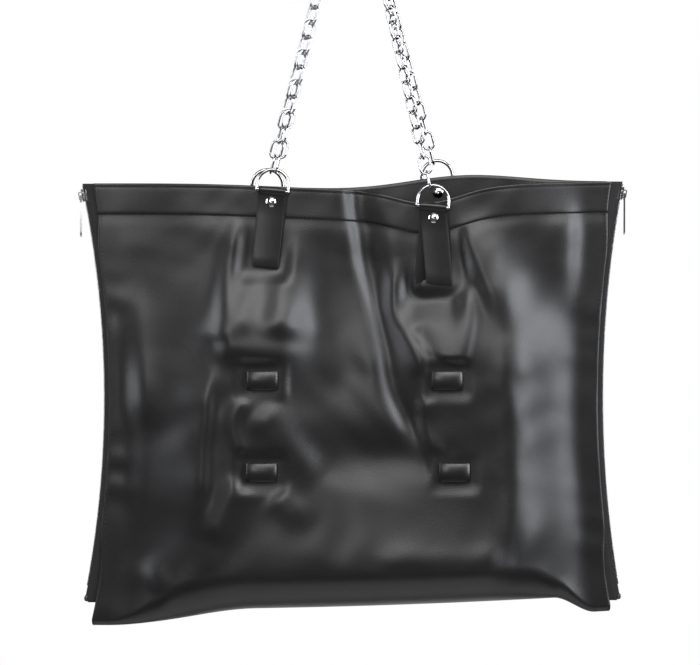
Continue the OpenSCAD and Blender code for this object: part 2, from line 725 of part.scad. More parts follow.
module slider(side) {
    flange_from = tooth_leg_to + zip_clear;
    flange_len = slider_len - shoulder_len - foot_cut;
    color(bright_steel) on_teeth(side, slider_deg(side)) {
        slider_layer(-plate_out, -plate_in) slider_outline();
        slider_layer(plate_in, plate_out) slider_outline();
        translate([-plate_out, slider_len / 2 - neck_len, -neck_w / 2])
            cube([2 * plate_out, neck_len, neck_w]);
        for (end = [0, 1], layer = [-plate_out, tape_t / 2 + zip_clear]) mirror([0, 0, end])
            translate([layer, -slider_len / 2 + foot_cut, flange_from])
                cube([plate_out - tape_t / 2 - zip_clear, flange_len, slider_foot - flange_from]);
        translate([-plate_out, 0, -bridge_w / 2]) linear_extrude(bridge_w) difference() {
            polygon([
                [bridge_lap, -bridge_len / 2], [bridge_cut - bridge_h, -bridge_len / 2],
                [-bridge_h, bridge_cut - bridge_len / 2], [-bridge_h, bridge_len / 2 - bridge_cut],
                [bridge_cut - bridge_h, bridge_len / 2], [bridge_lap, bridge_len / 2]
            ]);
            translate([-bridge_h + bridge_t, -bridge_len / 2 + bridge_t])
                square([bridge_h - bridge_t, bridge_len - 2 * bridge_t]);
        }
    }
}

// Pull: a bar under the slider's bridge, two arms and a long flat tongue that hangs straight down
arm_w = 1.2;
arm_len = 6;
arm_gap = 0.4;
module pull(side) {
    inside = bridge_w / 2 + arm_gap;
    tip = pull_w / 2;
    color(bright_steel) on_teeth(side, slider_deg(side)) translate([-bar_off, 0, 0])
        rotate([0, 0, -slider_deg(side)]) {
            cylinder(d = bar_d, h = 2 * (inside + arm_w), center = true, $fn = 24);
            translate([-pull_t / 2, 0, 0]) rotate([90, 0, 90]) linear_extrude(pull_t) {
                for (end = [0, 1]) mirror([0, end]) translate([-arm_len, inside]) square([arm_len, arm_w]);
                polygon([
                    [-arm_len, -inside - arm_w], [-arm_len, inside + arm_w],
                    [-pull_len + tip, tip], [-pull_len + tip, -tip]
                ]);
                translate([-pull_len + tip, 0]) circle(r = tip, $fn = 48);
            }
        }
}

front_panel();
rear_panel();
facing(FRONT);  // front_facing
facing(REAR);  // rear_facing
lining(FRONT);  // front_lining
lining(REAR);  // rear_lining
tab(FRONT, LEFT);  // front_left_tab
tab(FRONT, RIGHT);  // front_right_tab
tab(REAR, LEFT);  // rear_left_tab
tab(REAR, RIGHT);  // rear_right_tab
rivet_studs();
rivet_backs();
ring(FRONT, LEFT);  // front_left_ring
ring(FRONT, RIGHT);  // front_right_ring
ring(REAR, LEFT);  // rear_left_ring
ring(REAR, RIGHT);  // rear_right_ring
chain(FRONT);  // front_chain
chain(REAR);  // rear_chain
keeper(0);  // keeper_upper_left
keeper(1);  // keeper_upper_right
keeper(2);  // keeper_lower_left
keeper(3);  // keeper_lower_right
zip_tape(LEFT, FRONT);  // left_zip_front_tape
zip_tape(LEFT, REAR);  // left_zip_rear_tape
zip_teeth(LEFT, FRONT);  // left_zip_front_teeth
zip_teeth(LEFT, REAR);  // left_zip_rear_teeth
zip_top_stops(LEFT);  // left_zip_top_stops
zip_bottom_stop(LEFT);  // left_zip_bottom_stop
slider(LEFT);  // left_slider
pull(LEFT);  // left_pull
zip_tape(RIGHT, FRONT);  // right_zip_front_tape
zip_tape(RIGHT, REAR);  // right_zip_rear_tape
zip_teeth(RIGHT, FRONT);  // right_zip_front_teeth
zip_teeth(RIGHT, REAR);  // right_zip_rear_teeth
zip_top_stops(RIGHT);  // right_zip_top_stops
zip_bottom_stop(RIGHT);  // right_zip_bottom_stop
slider(RIGHT);  // right_slider
pull(RIGHT);  // right_pull
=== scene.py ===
"""Looks of a large soft leather tote that hangs by two chain handles.

Metres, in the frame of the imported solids: +X right, +Y to the rear, +Z up, origin on the hook.
"""

import json
import logging
import math
from collections.abc import Callable, Sequence
from dataclasses import dataclass, field
from enum import Enum

import bmesh
import bpy
import numpy as np
from mathutils import Matrix, Vector


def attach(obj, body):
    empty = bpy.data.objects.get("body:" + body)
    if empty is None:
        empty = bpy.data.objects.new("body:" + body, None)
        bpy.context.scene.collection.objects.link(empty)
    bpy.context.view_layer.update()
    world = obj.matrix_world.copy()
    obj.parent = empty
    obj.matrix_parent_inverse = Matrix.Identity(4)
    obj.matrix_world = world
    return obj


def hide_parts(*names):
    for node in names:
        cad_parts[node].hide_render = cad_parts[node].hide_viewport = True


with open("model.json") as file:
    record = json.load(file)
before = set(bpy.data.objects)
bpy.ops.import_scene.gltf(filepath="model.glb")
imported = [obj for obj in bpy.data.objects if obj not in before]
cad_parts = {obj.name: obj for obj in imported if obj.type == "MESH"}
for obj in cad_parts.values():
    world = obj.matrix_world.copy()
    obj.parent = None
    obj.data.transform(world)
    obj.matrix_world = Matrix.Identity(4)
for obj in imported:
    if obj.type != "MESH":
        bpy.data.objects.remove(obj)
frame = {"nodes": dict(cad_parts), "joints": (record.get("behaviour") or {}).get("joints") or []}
log = logging.getLogger("tote")

BAG = "bag"
# Distance within which a point counts as lying at a place
NEAR = 1e-4
# Share of a face's normal along an axis from which it counts as square to that axis
SQUARE = 0.9
# Least length and least weight that something is divided by
LEAST_LENGTH = 1e-9
LEAST_WEIGHT = 1e-6
Colour = tuple[float, float, float]
Point = tuple[float, float, float]
Place = tuple[float, float]


class Face(Enum):
    """The two leather faces, by the sign of Y that they look along."""

    FRONT = -1
    REAR = 1


class Side(Enum):
    """The two zipped sides, by the sign of X."""

    LEFT = -1
    RIGHT = 1


class Slot(Enum):
    """Material slots of the record that new pieces take."""

    LEATHER = "leather"
    LINING = "lining"
    TAPE = "zip_tape"


class Part(Enum):
    """What is selected in edit mode."""

    POINT = "VERT"
    EDGE = "EDGE"
    FACE = "FACE"


def ramp(t: np.ndarray) -> np.ndarray:
    """Returns an S-shaped ramp from 0 to 1."""
    c = np.clip(t, 0.0, 1.0)
    return c * c * (3.0 - 2.0 * c)


def bell(t: np.ndarray) -> np.ndarray:
    """Returns a bell of height 1 and unit width."""
    return np.exp(-t * t)


def lerp(a: np.ndarray | float, b: np.ndarray | float, t: np.ndarray | float) -> np.ndarray | float:
    """Returns the straight blend from a to b."""
    return a + (b - a) * t


def unit(ways: np.ndarray) -> np.ndarray:
    """Returns directions at length 1."""
    return ways / np.maximum(np.linalg.norm(ways, axis=1, keepdims=True), LEAST_LENGTH)


def grow(steps: np.ndarray, axis: int) -> np.ndarray:
    """Returns the distances from the start that steps along an axis add up to."""
    start = np.zeros_like(np.take(steps, [0], axis))
    return np.concatenate([start, np.cumsum(steps, axis)], axis)


class Value:
    """A shader socket that takes part in Python arithmetic."""

    def __init__(self, tree: "ShaderTree", socket: bpy.types.NodeSocket | None) -> None:
        """Wraps a socket of a tree."""
        self.tree = tree
        self.socket = socket

    def _math(self, operation: str, *terms: "Value | float") -> "Value":
        """Adds a Math node and returns its output."""
        return self.tree.node("ShaderNodeMath", {"operation": operation}, dict(enumerate(terms)))

    def __add__(self, other: "Value | float") -> "Value":
        """Returns the sum."""
        return self._math("ADD", self, other)

    def __sub__(self, other: "Value | float") -> "Value":
        """Returns the difference."""
        return self._math("SUBTRACT", self, other)

    def __mul__(self, other: "Value | float") -> "Value":
        """Returns the product."""
        return self._math("MULTIPLY", self, other)

    def __truediv__(self, other: "Value | float") -> "Value":
        """Returns the quotient."""
        return self._math("DIVIDE", self, other)

    __radd__ = __add__
    __rmul__ = __mul__

    def __rsub__(self, other: float) -> "Value":
        """Returns a number less this value."""
        return self._math("SUBTRACT", other, self)

    def __rtruediv__(self, other: float) -> "Value":
        """Returns a number divided by this value."""
        return self._math("DIVIDE", other, self)

    def sine(self) -> "Value":
        """Returns the sine of an angle in radians."""
        return self._math("SINE", self)

    def clamped(self) -> "Value":
        """Returns the value held between 0 and 1."""
        return self.tree.node("ShaderNodeClamp", {}, {"Value": self})

    def about(self, middle: float = 0.5) -> "Value":
        """Returns how far the value lies above a middle."""
        return self - middle

    def other(self, output: str | int) -> "Value":
        """Returns another output of the same node."""
        return Value(self.tree, self.socket.node.outputs[output])


class ShaderTree:
    """The node tree of a material or of the world."""

    def __init__(self, owner: bpy.types.Material | bpy.types.World) -> None:
        """Empties an owner's tree.

        Args:
            owner: The material or world.
        """
        owner.use_nodes = True
        self.tree = owner.node_tree
        self.tree.nodes.clear()

    def node(
        self, kind: str, settings: dict[str, object] | None = None,
        inputs: dict[str | int, object] | None = None, output: str | int = 0,
    ) -> Value:
        """Adds a node.

        Args:
            kind: Type of the node.
            settings: Properties, set before the sockets.
            inputs: Values or links of its sockets, by name or index.
            output: The output that is wanted.

        Returns:
            That output, empty where the node has none.
        """
        made = self.tree.nodes.new(kind)
        for key, value in (settings or {}).items():
            setattr(made, key, value)
        for key, value in (inputs or {}).items():
            if isinstance(value, Value):
                self.tree.links.new(value.socket, made.inputs[key])
            else:
                made.inputs[key].default_value = value
        return Value(self, made.outputs[output] if made.outputs else None)

    def place(self, output: str = "Object") -> Value:
        """Returns texture coordinates."""
        return self.node("ShaderNodeTexCoord", output=output)

    def noise(self, at: Value, size: float, detail: float = 2.0) -> Value:
        """Returns soft noise with features of a size."""
        inputs = {"Vector": at, "Scale": 1.0 / size, "Detail": detail}
        return self.node("ShaderNodeTexNoise", {"noise_dimensions": "3D"}, inputs)

    def mix(self, share: Value, first: "Value | Colour", second: "Value | Colour") -> Value:
        """Returns the blend of two colours."""
        ends = [colour if isinstance(colour, Value) else (*colour, 1.0) for colour in (first, second)]
        return self.node("ShaderNodeMix", {"data_type": "RGBA"}, {0: share, 6: ends[0], 7: ends[1]}, 2)

    def bump(self, height: Value, distance: float) -> Value:
        """Returns the normal of a relief whose heights from 0 to 1 stand for a distance."""
        return self.node("ShaderNodeBump", {}, {"Strength": 1.0, "Distance": distance, "Height": height})


class Finish:
    """A look that becomes a material."""

    name: str

    def material(self) -> bpy.types.Material:
        """Makes a material with one principled shader.

        Returns:
            The material.
        """
        made = bpy.data.materials.new(self.name)
        tree = ShaderTree(made)
        shader = tree.node("ShaderNodeBsdfPrincipled", {}, self.sockets(tree))
        tree.node("ShaderNodeOutputMaterial", {}, {"Surface": shader})
        return made

    def sockets(self, tree: ShaderTree) -> dict[str, object]:
        """Returns the inputs of that shader."""
        raise NotImplementedError


@dataclass(frozen=True)
class Leather(Finish):
    """Coated leather with a fine pebble grain."""

    name: str
    shade: Colour = (0.0068, 0.0066, 0.0069)
    faded: Colour = (0.0095, 0.0092, 0.0096)
    roughness: float = 0.40
    unevenness: float = 0.06
    specular: float = 0.8
    grain: float = 0.0011
    grain_depth: float = 0.00008
    grain_softness: float = 0.6
    pore_size: float = 0.45
    pore_share: float = 0.25
    cloud_size: float = 0.035
    wear_size: float = 0.006
    wear_share: float = 0.3

    def sockets(self, tree: ShaderTree) -> dict[str, object]:
        """Lays out the nodes of the look.

        Args:
            tree: The material's tree.

        Returns:
            Inputs of its shader, by name.
        """
        at = tree.place()
        pebbles = tree.node(
            "ShaderNodeTexVoronoi", {"feature": "SMOOTH_F1"},
            {"Vector": at, "Scale": 1.0 / self.grain, "Smoothness": self.grain_softness},
        )
        pores = tree.noise(at, self.grain * self.pore_size, 1.0)
        cloud = tree.noise(at, self.cloud_size, 3.0)
        wear = tree.noise(at, self.wear_size, 4.0)
        relief = (1.0 - pebbles) * (1.0 - self.pore_share) + pores * self.pore_share
        fading = cloud * (1.0 - self.wear_share) + wear * self.wear_share
        return {
            "Base Color": tree.mix(fading.clamped(), self.shade, self.faded),
            "Roughness": (self.roughness + (cloud.about() + wear.about()) * self.unevenness).clamped(),
            "Specular IOR Level": self.specular,
            "Normal": tree.bump(relief, self.grain_depth),
        }


@dataclass(frozen=True)
class Lumpy(Finish):
    """A lumpy coat or fibre of two shades, such as painted edges, twisted thread or floor paint."""

    name: str
    shade: Colour
    light: Colour
    size: float
    detail: float
    roughness: float
    swing: float
    depth: float

    def sockets(self, tree: ShaderTree) -> dict[str, object]:
        """Lays out the nodes of the look.

        Args:
            tree: The material's tree.

        Returns:
            Inputs of its shader, by name.
        """
        lumps = tree.noise(tree.place(), self.size, self.detail)
        return {
            "Base Color": tree.mix(lumps, self.shade, self.light),
            "Roughness": self.roughness + lumps.about() * self.swing,
            "Normal": tree.bump(lumps, self.depth),
        }


@dataclass(frozen=True)
class Weave(Finish):
    """Woven cloth, along a piece's own UV map in metres."""

    name: str
    thread: float
    shade: Colour
    light: Colour
    roughness: float = 0.75
    swing: float = 0.2
    relief: float = 0.00012
    fuzz_size: float = 0.7
    fuzz_share: float = 0.2
    cloud_size: float = 0.03
    cloud_share: float = 0.4

    def sockets(self, tree: ShaderTree) -> dict[str, object]:
        """Lays out the nodes of the look.

        Args:
            tree: The material's tree.

        Returns:
            Inputs of its shader, by name.
        """
        along = tree.node("ShaderNodeSeparateXYZ", {}, {0: tree.place("UV")})
        turn = math.pi / self.thread
        weave = (along * turn).sine() * (along.other(1) * turn).sine() * 0.5 + 0.5
        fuzz = tree.noise(tree.place(), self.thread * self.fuzz_size)
        cloud = tree.noise(tree.place(), self.cloud_size)
        shading = weave * (1.0 - self.cloud_share) + cloud * self.cloud_share
        height = weave * (1.0 - self.fuzz_share) + fuzz * self.fuzz_share
        return {
            "Base Color": tree.mix(shading.clamped(), self.shade, self.light),
            "Roughness": (self.roughness + fuzz.about() * self.swing).clamped(),
            "Normal": tree.bump(height, self.relief),
        }


@dataclass(frozen=True)
class Metal(Finish):
    """Plated metal with a little tarnish, fine scratches along z and, on castings, dents."""

    name: str
    shade: Colour
    dull: Colour
    roughness: float
    wear_size: float = 0.004
    wear_from: float = 0.45
    wear_gain: float = 2.2
    wear_swing: float = 0.12
    scratch_size: float = 0.0004
    scratch_stretch: Point = (1.0, 1.0, 0.12)
    scratch_depth: float = 0.000004
    scratch_swing: float = 0.05
    dent_size: float = 0.0011
    dent_depth: float = 0.0

    def sockets(self, tree: ShaderTree) -> dict[str, object]:
        """Lays out the nodes of the look.

        Args:
            tree: The material's tree.

        Returns:
            Inputs of its shader, by name.
        """
        at = tree.place()
        tarnish = tree.noise(at, self.wear_size, 4.0)
        stretched = tree.node("ShaderNodeMapping", {}, {"Vector": at, "Scale": self.scratch_stretch})
        scratches = tree.noise(stretched, self.scratch_size)
        dents = tree.noise(at, self.dent_size, 1.0)
        worn = tarnish.about(self.wear_from) * self.wear_gain
        rough = self.roughness + tarnish.about() * self.wear_swing + scratches.about() * self.scratch_swing
        return {
            "Base Color": tree.mix(worn.clamped(), self.shade, self.dull),
            "Metallic": 1.0,
            "Roughness": rough.clamped(),
            "Normal": tree.bump(scratches * self.scratch_depth + dents * self.dent_depth, 1.0),
        }


PANEL = Leather("panel_leather")
STRAP = Leather("strap_leather", roughness=0.36, grain=0.0007, grain_depth=0.00004)
EDGE = Lumpy(
    "edge_paint", (0.018, 0.018, 0.019), (0.035, 0.035, 0.036),
    size=0.0012, detail=3.0, roughness=0.3, swing=0.2, depth=0.00012)
THREAD = Lumpy(
    "black_thread", (0.006, 0.006, 0.006), (0.018, 0.018, 0.019),
    size=0.00035, detail=2.0, roughness=0.45, swing=0.3, depth=0.0001)
FLOOR = Lumpy(
    "pale_floor", (0.78, 0.78, 0.78), (0.81, 0.81, 0.81),
    size=0.25, detail=2.0, roughness=0.8, swing=0.0, depth=0.0)
LINING = Weave("lining_cloth", 0.0006, (0.016, 0.016, 0.017), (0.035, 0.035, 0.037))
TAPE = Weave("zip_tape_cloth", 0.0009, (0.007, 0.007, 0.007), (0.022, 0.022, 0.023))
CHROME = Metal("bright_plating", (0.80, 0.80, 0.81), (0.62, 0.62, 0.64), 0.12)
TEETH = Metal("tooth_plating", (0.80, 0.80, 0.81), (0.50, 0.50, 0.51), 0.30, 0.003, dent_depth=0.0004)


@dataclass(frozen=True)
class Finishes:
    """All materials of the bag."""

    panel: bpy.types.Material
    strap: bpy.types.Material
    edge: bpy.types.Material
    thread: bpy.types.Material
    lining: bpy.types.Material
    tape: bpy.types.Material
    chrome: bpy.types.Material
    teeth: bpy.types.Material

    @classmethod
    def mixed(cls) -> "Finishes":
        """Returns the finishes that the bag wears."""
        return cls(*(look.material() for look in (PANEL, STRAP, EDGE, THREAD, LINING, TAPE, CHROME, TEETH)))


def fit(
    piece: bpy.types.Object, materials: Sequence[bpy.types.Material],
    replaces: Sequence[str] = (),
) -> bpy.types.Object:
    """Dresses a piece and makes it ride on the bag.

    Args:
        piece: The piece.
        materials: Its materials, in the order of its faces' indices.
        replaces: CAD nodes that it stands for.

    Returns:
        The same piece.
    """
    for material in materials:
        piece.data.materials.append(material)
    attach(piece, BAG)
    if replaces:
        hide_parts(*replaces)
    log.info("%s: %d faces", piece.name, len(piece.data.polygons))
    return piece


def mesh_object(name: str, points: np.ndarray, faces: Sequence[Sequence[int]]) -> bpy.types.Object:
    """Makes a new smooth-shaded object.

    Args:
        name: Its name.
        points: Its points.
        faces: Indices of each face's points.

    Returns:
        The object.
    """
    mesh = bpy.data.meshes.new(name)
    mesh.from_pydata(points.tolist(), [], faces)
    mesh.polygons.foreach_set("use_smooth", [True] * len(mesh.polygons))
    mesh.validate()
    made = bpy.data.objects.new(name, mesh)
    bpy.context.collection.objects.link(made)
    return made


@dataclass
class Shell:
    """A closed sheet between two grids of points, with rounded edges.

    Attributes:
        name: Name of the piece.
        outer: Rows and columns of points on the outside, from top to bottom and left to right.
        inner: The same on the inside.
        flip: Whether the outside looks along +Y.
        edge_bulge: How far the edges are rounded, as a share of the thickness.
    """

    name: str
    outer: np.ndarray
    inner: np.ndarray
    flip: bool
    edge_bulge: float = 0.35

    def build(self) -> bpy.types.Object:
        """Builds the sheet, with a UV map in metres.

        Returns:
            The sheet.
        """
        rows, columns, _ = self.outer.shape
        count = rows * columns
        index = np.arange(count).reshape(rows, columns)
        ring = np.concatenate([index[0, :-1], index[:-1, -1], index[-1, :0:-1], index[:0:-1, 0]])
        beside = np.concatenate([index[1, :-1], index[:-1, -2], index[-2, :0:-1], index[:0:-1, 1]])
        outer, inner = self.outer.reshape(-1, 3), self.inner.reshape(-1, 3)
        thick = np.linalg.norm(outer[ring] - inner[ring], axis=1, keepdims=True)
        away = unit(outer[ring] - outer[beside])
        middle = (outer[ring] + inner[ring]) / 2 + away * thick * self.edge_bulge
        corners = [index[:-1, :-1], index[1:, :-1], index[1:, 1:], index[:-1, 1:]]
        skin = np.stack(corners, -1).reshape(-1, 4)
        after = np.roll(np.arange(len(ring)), -1)
        mid = 2 * count + np.arange(len(ring))
        edge_out = np.stack([ring, ring[after], mid[after], mid], -1)
        edge_in = np.stack([mid, mid[after], ring[after] + count, ring + count], -1)
        faces = np.concatenate([skin, skin[:, ::-1] + count, edge_out, edge_in])
        if self.flip:
            faces = faces[:, ::-1]
        made = mesh_object(self.name, np.concatenate([outer, inner, middle]), faces.tolist())
        self._unwrap(made, ring)
        return made

    def _unwrap(self, made: bpy.types.Object, ring: np.ndarray) -> None:
        """Gives a sheet a UV map that runs along its columns and rows, in metres.

        Args:
            made: The sheet.
            ring: Indices of its edge points.
        """
        lengths = [grow(np.linalg.norm(np.diff(self.outer, axis=axis), axis=2), axis) for axis in (1, 0)]
        grid = np.stack(lengths, -1).reshape(-1, 2)
        per_point = np.concatenate([grid, grid, grid[ring]])
        corners = np.empty(len(made.data.loops), dtype=np.int64)
        made.data.loops.foreach_get("vertex_index", corners)
        made.data.uv_layers.new(name="weave").data.foreach_set("uv", per_point[corners].ravel())


@dataclass(frozen=True)
class Fold:
    """A fold of the leather. Its crest runs downwards, or from left to right.

    Attributes:
        height: Height of the crest, negative for a valley.
        left: Width of the flank left of the crest, or below it.
        right: Width of the flank right of the crest, or above it.
        crest: Points of the crest, as x and z.
        tips: Lengths over which it rises at its first end and dies out at its last.
        steps: Straight pieces between two points of the crest.
    """

    height: float
    left: float
    right: float
    crest: tuple[Place, ...]
    tips: Place = (0.025, 0.025)
    steps: int = 6

    def line(self) -> np.ndarray:
        """Draws the crest on a Catmull-Rom spline.

        Returns:
            Points of the smooth line.
        """
        knots = np.array(self.crest)
        ends = np.concatenate([[2 * knots[0] - knots[1]], knots, [2 * knots[-1] - knots[-2]]])
        t = np.linspace(0.0, 1.0, self.steps, endpoint=False)[:, None]
        parts = []
        for p0, p1, p2, p3 in zip(ends[:-3], ends[1:-2], ends[2:-1], ends[3:]):
            square = (2 * p0 - 5 * p1 + 4 * p2 - p3) * t**2
            cube = (3 * p1 - p0 - 3 * p2 + p3) * t**3
            parts.append(0.5 * (2 * p1 + (p2 - p0) * t + square + cube))
        return np.concatenate([*parts, knots[-1:]])

    def rise(self, x: np.ndarray, z: np.ndarray) -> np.ndarray:
        """Works out how far the fold lifts the leather.

        Args:
            x, z: Places on the face.

        Returns:
            The lift at each place.
        """
        line = self.line()
        nearest = np.full(x.shape, np.inf)
        side = np.zeros(x.shape)
        along = np.zeros(x.shape)
        travelled = 0.0
        for (ax, az), (bx, bz) in zip(line[:-1], line[1:]):
            dx, dz = bx - ax, bz - az
            length = math.hypot(dx, dz)
            t = np.clip(((x - ax) * dx + (z - az) * dz) / length**2, 0.0, 1.0)
            qx, qz = x - ax - t * dx, z - az - t * dz
            distance = qx**2 + qz**2
            closer = distance < nearest
            nearest = np.where(closer, distance, nearest)
            side = np.where(closer, dx * qz - dz * qx, side)
            along = np.where(closer, travelled + t * length, along)
            travelled += length
        width = np.where(side > 0, self.right, self.left)
        ends = ramp(along / self.tips[0]) * ramp((travelled - along) / self.tips[1])
        return self.height * bell(np.sqrt(nearest) / width) * ends


@dataclass(frozen=True)
class Dimple:
    """A soft swelling, or a hollow where its height is negative. Its middle and radii are in x and z."""

    middle: Place
    radii: Place
    height: float

    def rise(self, x: np.ndarray, z: np.ndarray) -> np.ndarray:
        """Returns how far it lifts the leather at places."""
        across = bell((x - self.middle[0]) / self.radii[0])
        return self.height * across * bell((z - self.middle[1]) / self.radii[1])


@dataclass
class Relief:
    """Folds and swellings of a face on one grid, softened as the leather's own stiffness does."""

    forms: tuple["Fold | Dimple", ...]
    step: float = 0.002
    low: Place = (-0.262, -0.672)
    high: Place = (0.262, -0.222)
    passes: int = 2
    end_guard: float = 0.001
    grid: np.ndarray = field(init=False, repr=False)

    def __post_init__(self) -> None:
        """Lays the forms on the grid and softens them."""
        x, z = np.meshgrid(*(np.arange(a, b, self.step) for a, b in zip(self.low, self.high)))
        rise = sum(form.rise(x, z) for form in self.forms)
        for axis in (0, 1) * self.passes:
            rise = (np.roll(rise, 1, axis) + 2 * rise + np.roll(rise, -1, axis)) / 4
        self.grid = rise

    def rise(self, x: np.ndarray, z: np.ndarray) -> np.ndarray:
        """Reads the lift of all forms off the grid.

        Args:
            x, z: Places on the face.

        Returns:
            The lift at each place.
        """
        rows, columns = self.grid.shape
        across = np.clip((x - self.low[0]) / self.step, 0, columns - 1 - self.end_guard)
        up = np.clip((z - self.low[1]) / self.step, 0, rows - 1 - self.end_guard)
        i, j = up.astype(int), across.astype(int)
        lower = lerp(self.grid[i, j], self.grid[i, j + 1], across - j)
        upper = lerp(self.grid[i + 1, j], self.grid[i + 1, j + 1], across - j)
        return lerp(lower, upper, up - i)


@dataclass(frozen=True)
class Seat:
    """A place where a tab or keeper calms the folds, and holds the leather at a depth.

    Attributes:
        x, z: Its middle.
        half_width, half_height: Its half sizes.
        depth: Depth at which it holds the leather.
        hold: How firmly, from 0 to 1.
        fade: Width over which the hold fades around it.
        lean: Sideways drift for each metre down.
        calm: How far the folds are calmed, from 0 to 1.
        calm_fade: Width over which the calm fades around it.
    """

    x: float
    z: float
    half_width: float
    half_height: float
    depth: float = 0.0
    hold: float = 0.0
    fade: float = 0.014
    lean: float = 0.0
    calm: float = 1.0
    calm_fade: float = 0.018

    def weight(self, x: np.ndarray, z: np.ndarray, fade: float) -> np.ndarray:
        """Works out the seat's weight.

        Args:
            x, z: Places on the face.
            fade: Width over which it fades.

        Returns:
            The weight at each place, from 0 to 1.
        """
        beside = np.abs(x - self.x - self.lean * (self.z - z)) - self.half_width
        above = np.abs(z - self.z) - self.half_height
        return ramp(1 - beside / fade) * ramp(1 - above / fade)


@dataclass(frozen=True)
class BagForm:
    """Sizes of the bag's body. They follow the solids, apart from softer runs and turns of the leather."""

    width: float = 0.504
    zip_height: float = 0.392
    handle_drop: float = 0.242
    left_side_drop: float = 0.002
    pinch_left: float = 0.020
    pinch_right: float = 0.018
    tape_show: float = 0.011
    tape_bare: float = 0.005
    tape_lap: float = 0.013
    tape_thick: float = 0.0006
    tape_apart: float = 0.018
    lap_margin: float = 0.001
    overhang_from_top: float = 0.010
    overhang_from_bottom: float = 0.020
    overhang_run: float = 0.060
    side_depth: float = 0.011
    front_bulge: float = 0.034
    rear_bulge: float = 0.022
    rim_sag: float = 0.007
    front_rim_dip: float = 0.013
    rear_rim_rise: float = 0.011
    sag_middle: float = 0.1
    sag_share: float = 0.5
    dip_share: float = 0.17
    rise_past: float = 0.1
    rise_share: float = 0.32
    front_tab_x: float = 0.074
    rear_tab_x: float = 0.080
    left_corner_drop: float = 0.023
    right_corner_drop: float = 0.0115
    base_lift: float = 0.015
    base_sag: float = 0.004
    left_lift_share: float = 0.28
    right_lift_share: float = 0.07
    left_belly_share: float = 0.16
    right_belly_share: float = 0.14
    left_run: float = 0.105
    right_run: float = 0.080
    rim_share: float = 0.42
    rim_flat: float = 0.065
    rim_run: float = 0.110
    seam_gap: float = 0.0004
    side_turn: float = 0.007
    belly_turn: float = 0.040
    sewn_gap: float = 0.0003
    panel_thick: float = 0.0014
    facing_thick: float = 0.001
    lining_thick: float = 0.0005
    hem_depth: float = 0.030
    hem_seam: float = 0.0285
    rim_seam: float = 0.003
    zip_seam: float = 0.003

    @property
    def leather_width(self) -> float:
        """Width of the leather between the zip tapes."""
        return self.width - 2 * self.tape_show

    @property
    def flat_edge(self) -> float:
        """Width along each zip that stays flat."""
        return self.tape_lap + self.lap_margin

    @property
    def lap_share(self) -> float:
        """That width as a share of the leather's width."""
        return self.flat_edge / self.leather_width

    def zip_top(self, side: Side) -> float:
        """Returns the height of a zip's upper end."""
        return -self.handle_drop - (self.left_side_drop if side is Side.LEFT else 0.0)

    def zip_middle(self, side: Side) -> float:
        """Returns the height of a zip's middle."""
        return self.zip_top(side) - self.zip_height / 2

    def zip_arc(self, side: Side) -> Place:
        """Works out the arc that a zip follows.

        Args:
            side: The zip's side.

        Returns:
            Its radius, and its centre's distance from the bag's middle.
        """
        pinch = self.pinch_left if side is Side.LEFT else self.pinch_right
        radius = ((self.zip_height / 2) ** 2 + pinch**2) / (2 * pinch)
        return radius, self.width / 2 - pinch + radius

    def edge_x(self, side: Side, z: np.ndarray) -> np.ndarray:
        """Finds the leather's edge, which hangs over the tape between the zip's ends.

        Args:
            side: The zip's side.
            z: Heights.

        Returns:
            The edge's x at each height.
        """
        radius, centre = self.zip_arc(side)
        below_top = self.zip_top(side) - z
        high = ramp((below_top - self.overhang_from_top) / self.overhang_run)
        low = ramp((self.zip_height - below_top - self.overhang_from_bottom) / self.overhang_run)
        reach = radius + lerp(self.tape_show, self.tape_bare, high * low)
        return side.value * (centre - np.sqrt(reach**2 - (z - self.zip_middle(side)) ** 2))

    def rim_z(self, face: Face, u: np.ndarray) -> np.ndarray:
        """Finds the height of a rim.

        Args:
            face: The face that it belongs to.
            u: Shares of the width.

        Returns:
            The height at each share.
        """
        across = 2 * u - 1
        level = lerp(self.zip_top(Side.LEFT), self.zip_top(Side.RIGHT), u)
        level = level - self.rim_sag * bell((across - self.sag_middle) / self.sag_share)
        if face is Face.FRONT:
            dip = bell((across - 2 * self.front_tab_x / self.width) / self.dip_share)
            return level - self.front_rim_dip * dip
        middle = 2 * self.rear_tab_x / self.width + self.rise_past
        return level + self.rear_rim_rise * bell((across - middle) / self.rise_share)

    def corner_z(self, side: Side) -> float:
        """Returns the height of a bottom corner."""
        drop = self.left_corner_drop if side is Side.LEFT else self.right_corner_drop
        return self.zip_top(side) - self.zip_height - drop

    def between(self, u: np.ndarray, left: float, right: float) -> np.ndarray:
        """Returns 0 at the sides and 1 in between, at shares of the width, over a run at each side."""
        return ramp((u - self.lap_share) / left) * ramp((1 - u - self.lap_share) / right)

    def base_z(self, u: np.ndarray) -> np.ndarray:
        """Finds the height of the bottom.

        Args:
            u: Shares of the width.

        Returns:
            The height at each share.
        """
        lift = self.base_lift * self.between(u, self.left_lift_share, self.right_lift_share)
        corners = lerp(self.corner_z(Side.LEFT), self.corner_z(Side.RIGHT), u)
        return corners + lift - self.base_sag * (1 - (2 * u - 1) ** 2)

    def side_share(self, u: np.ndarray) -> np.ndarray:
        """Returns 0 at the sides and 1 over the belly."""
        return self.between(u, self.left_belly_share, self.right_belly_share)

    def turn_height(self, u: np.ndarray) -> np.ndarray:
        """Returns how high the turn under the base begins."""
        return lerp(self.side_turn, self.belly_turn, self.side_share(u))

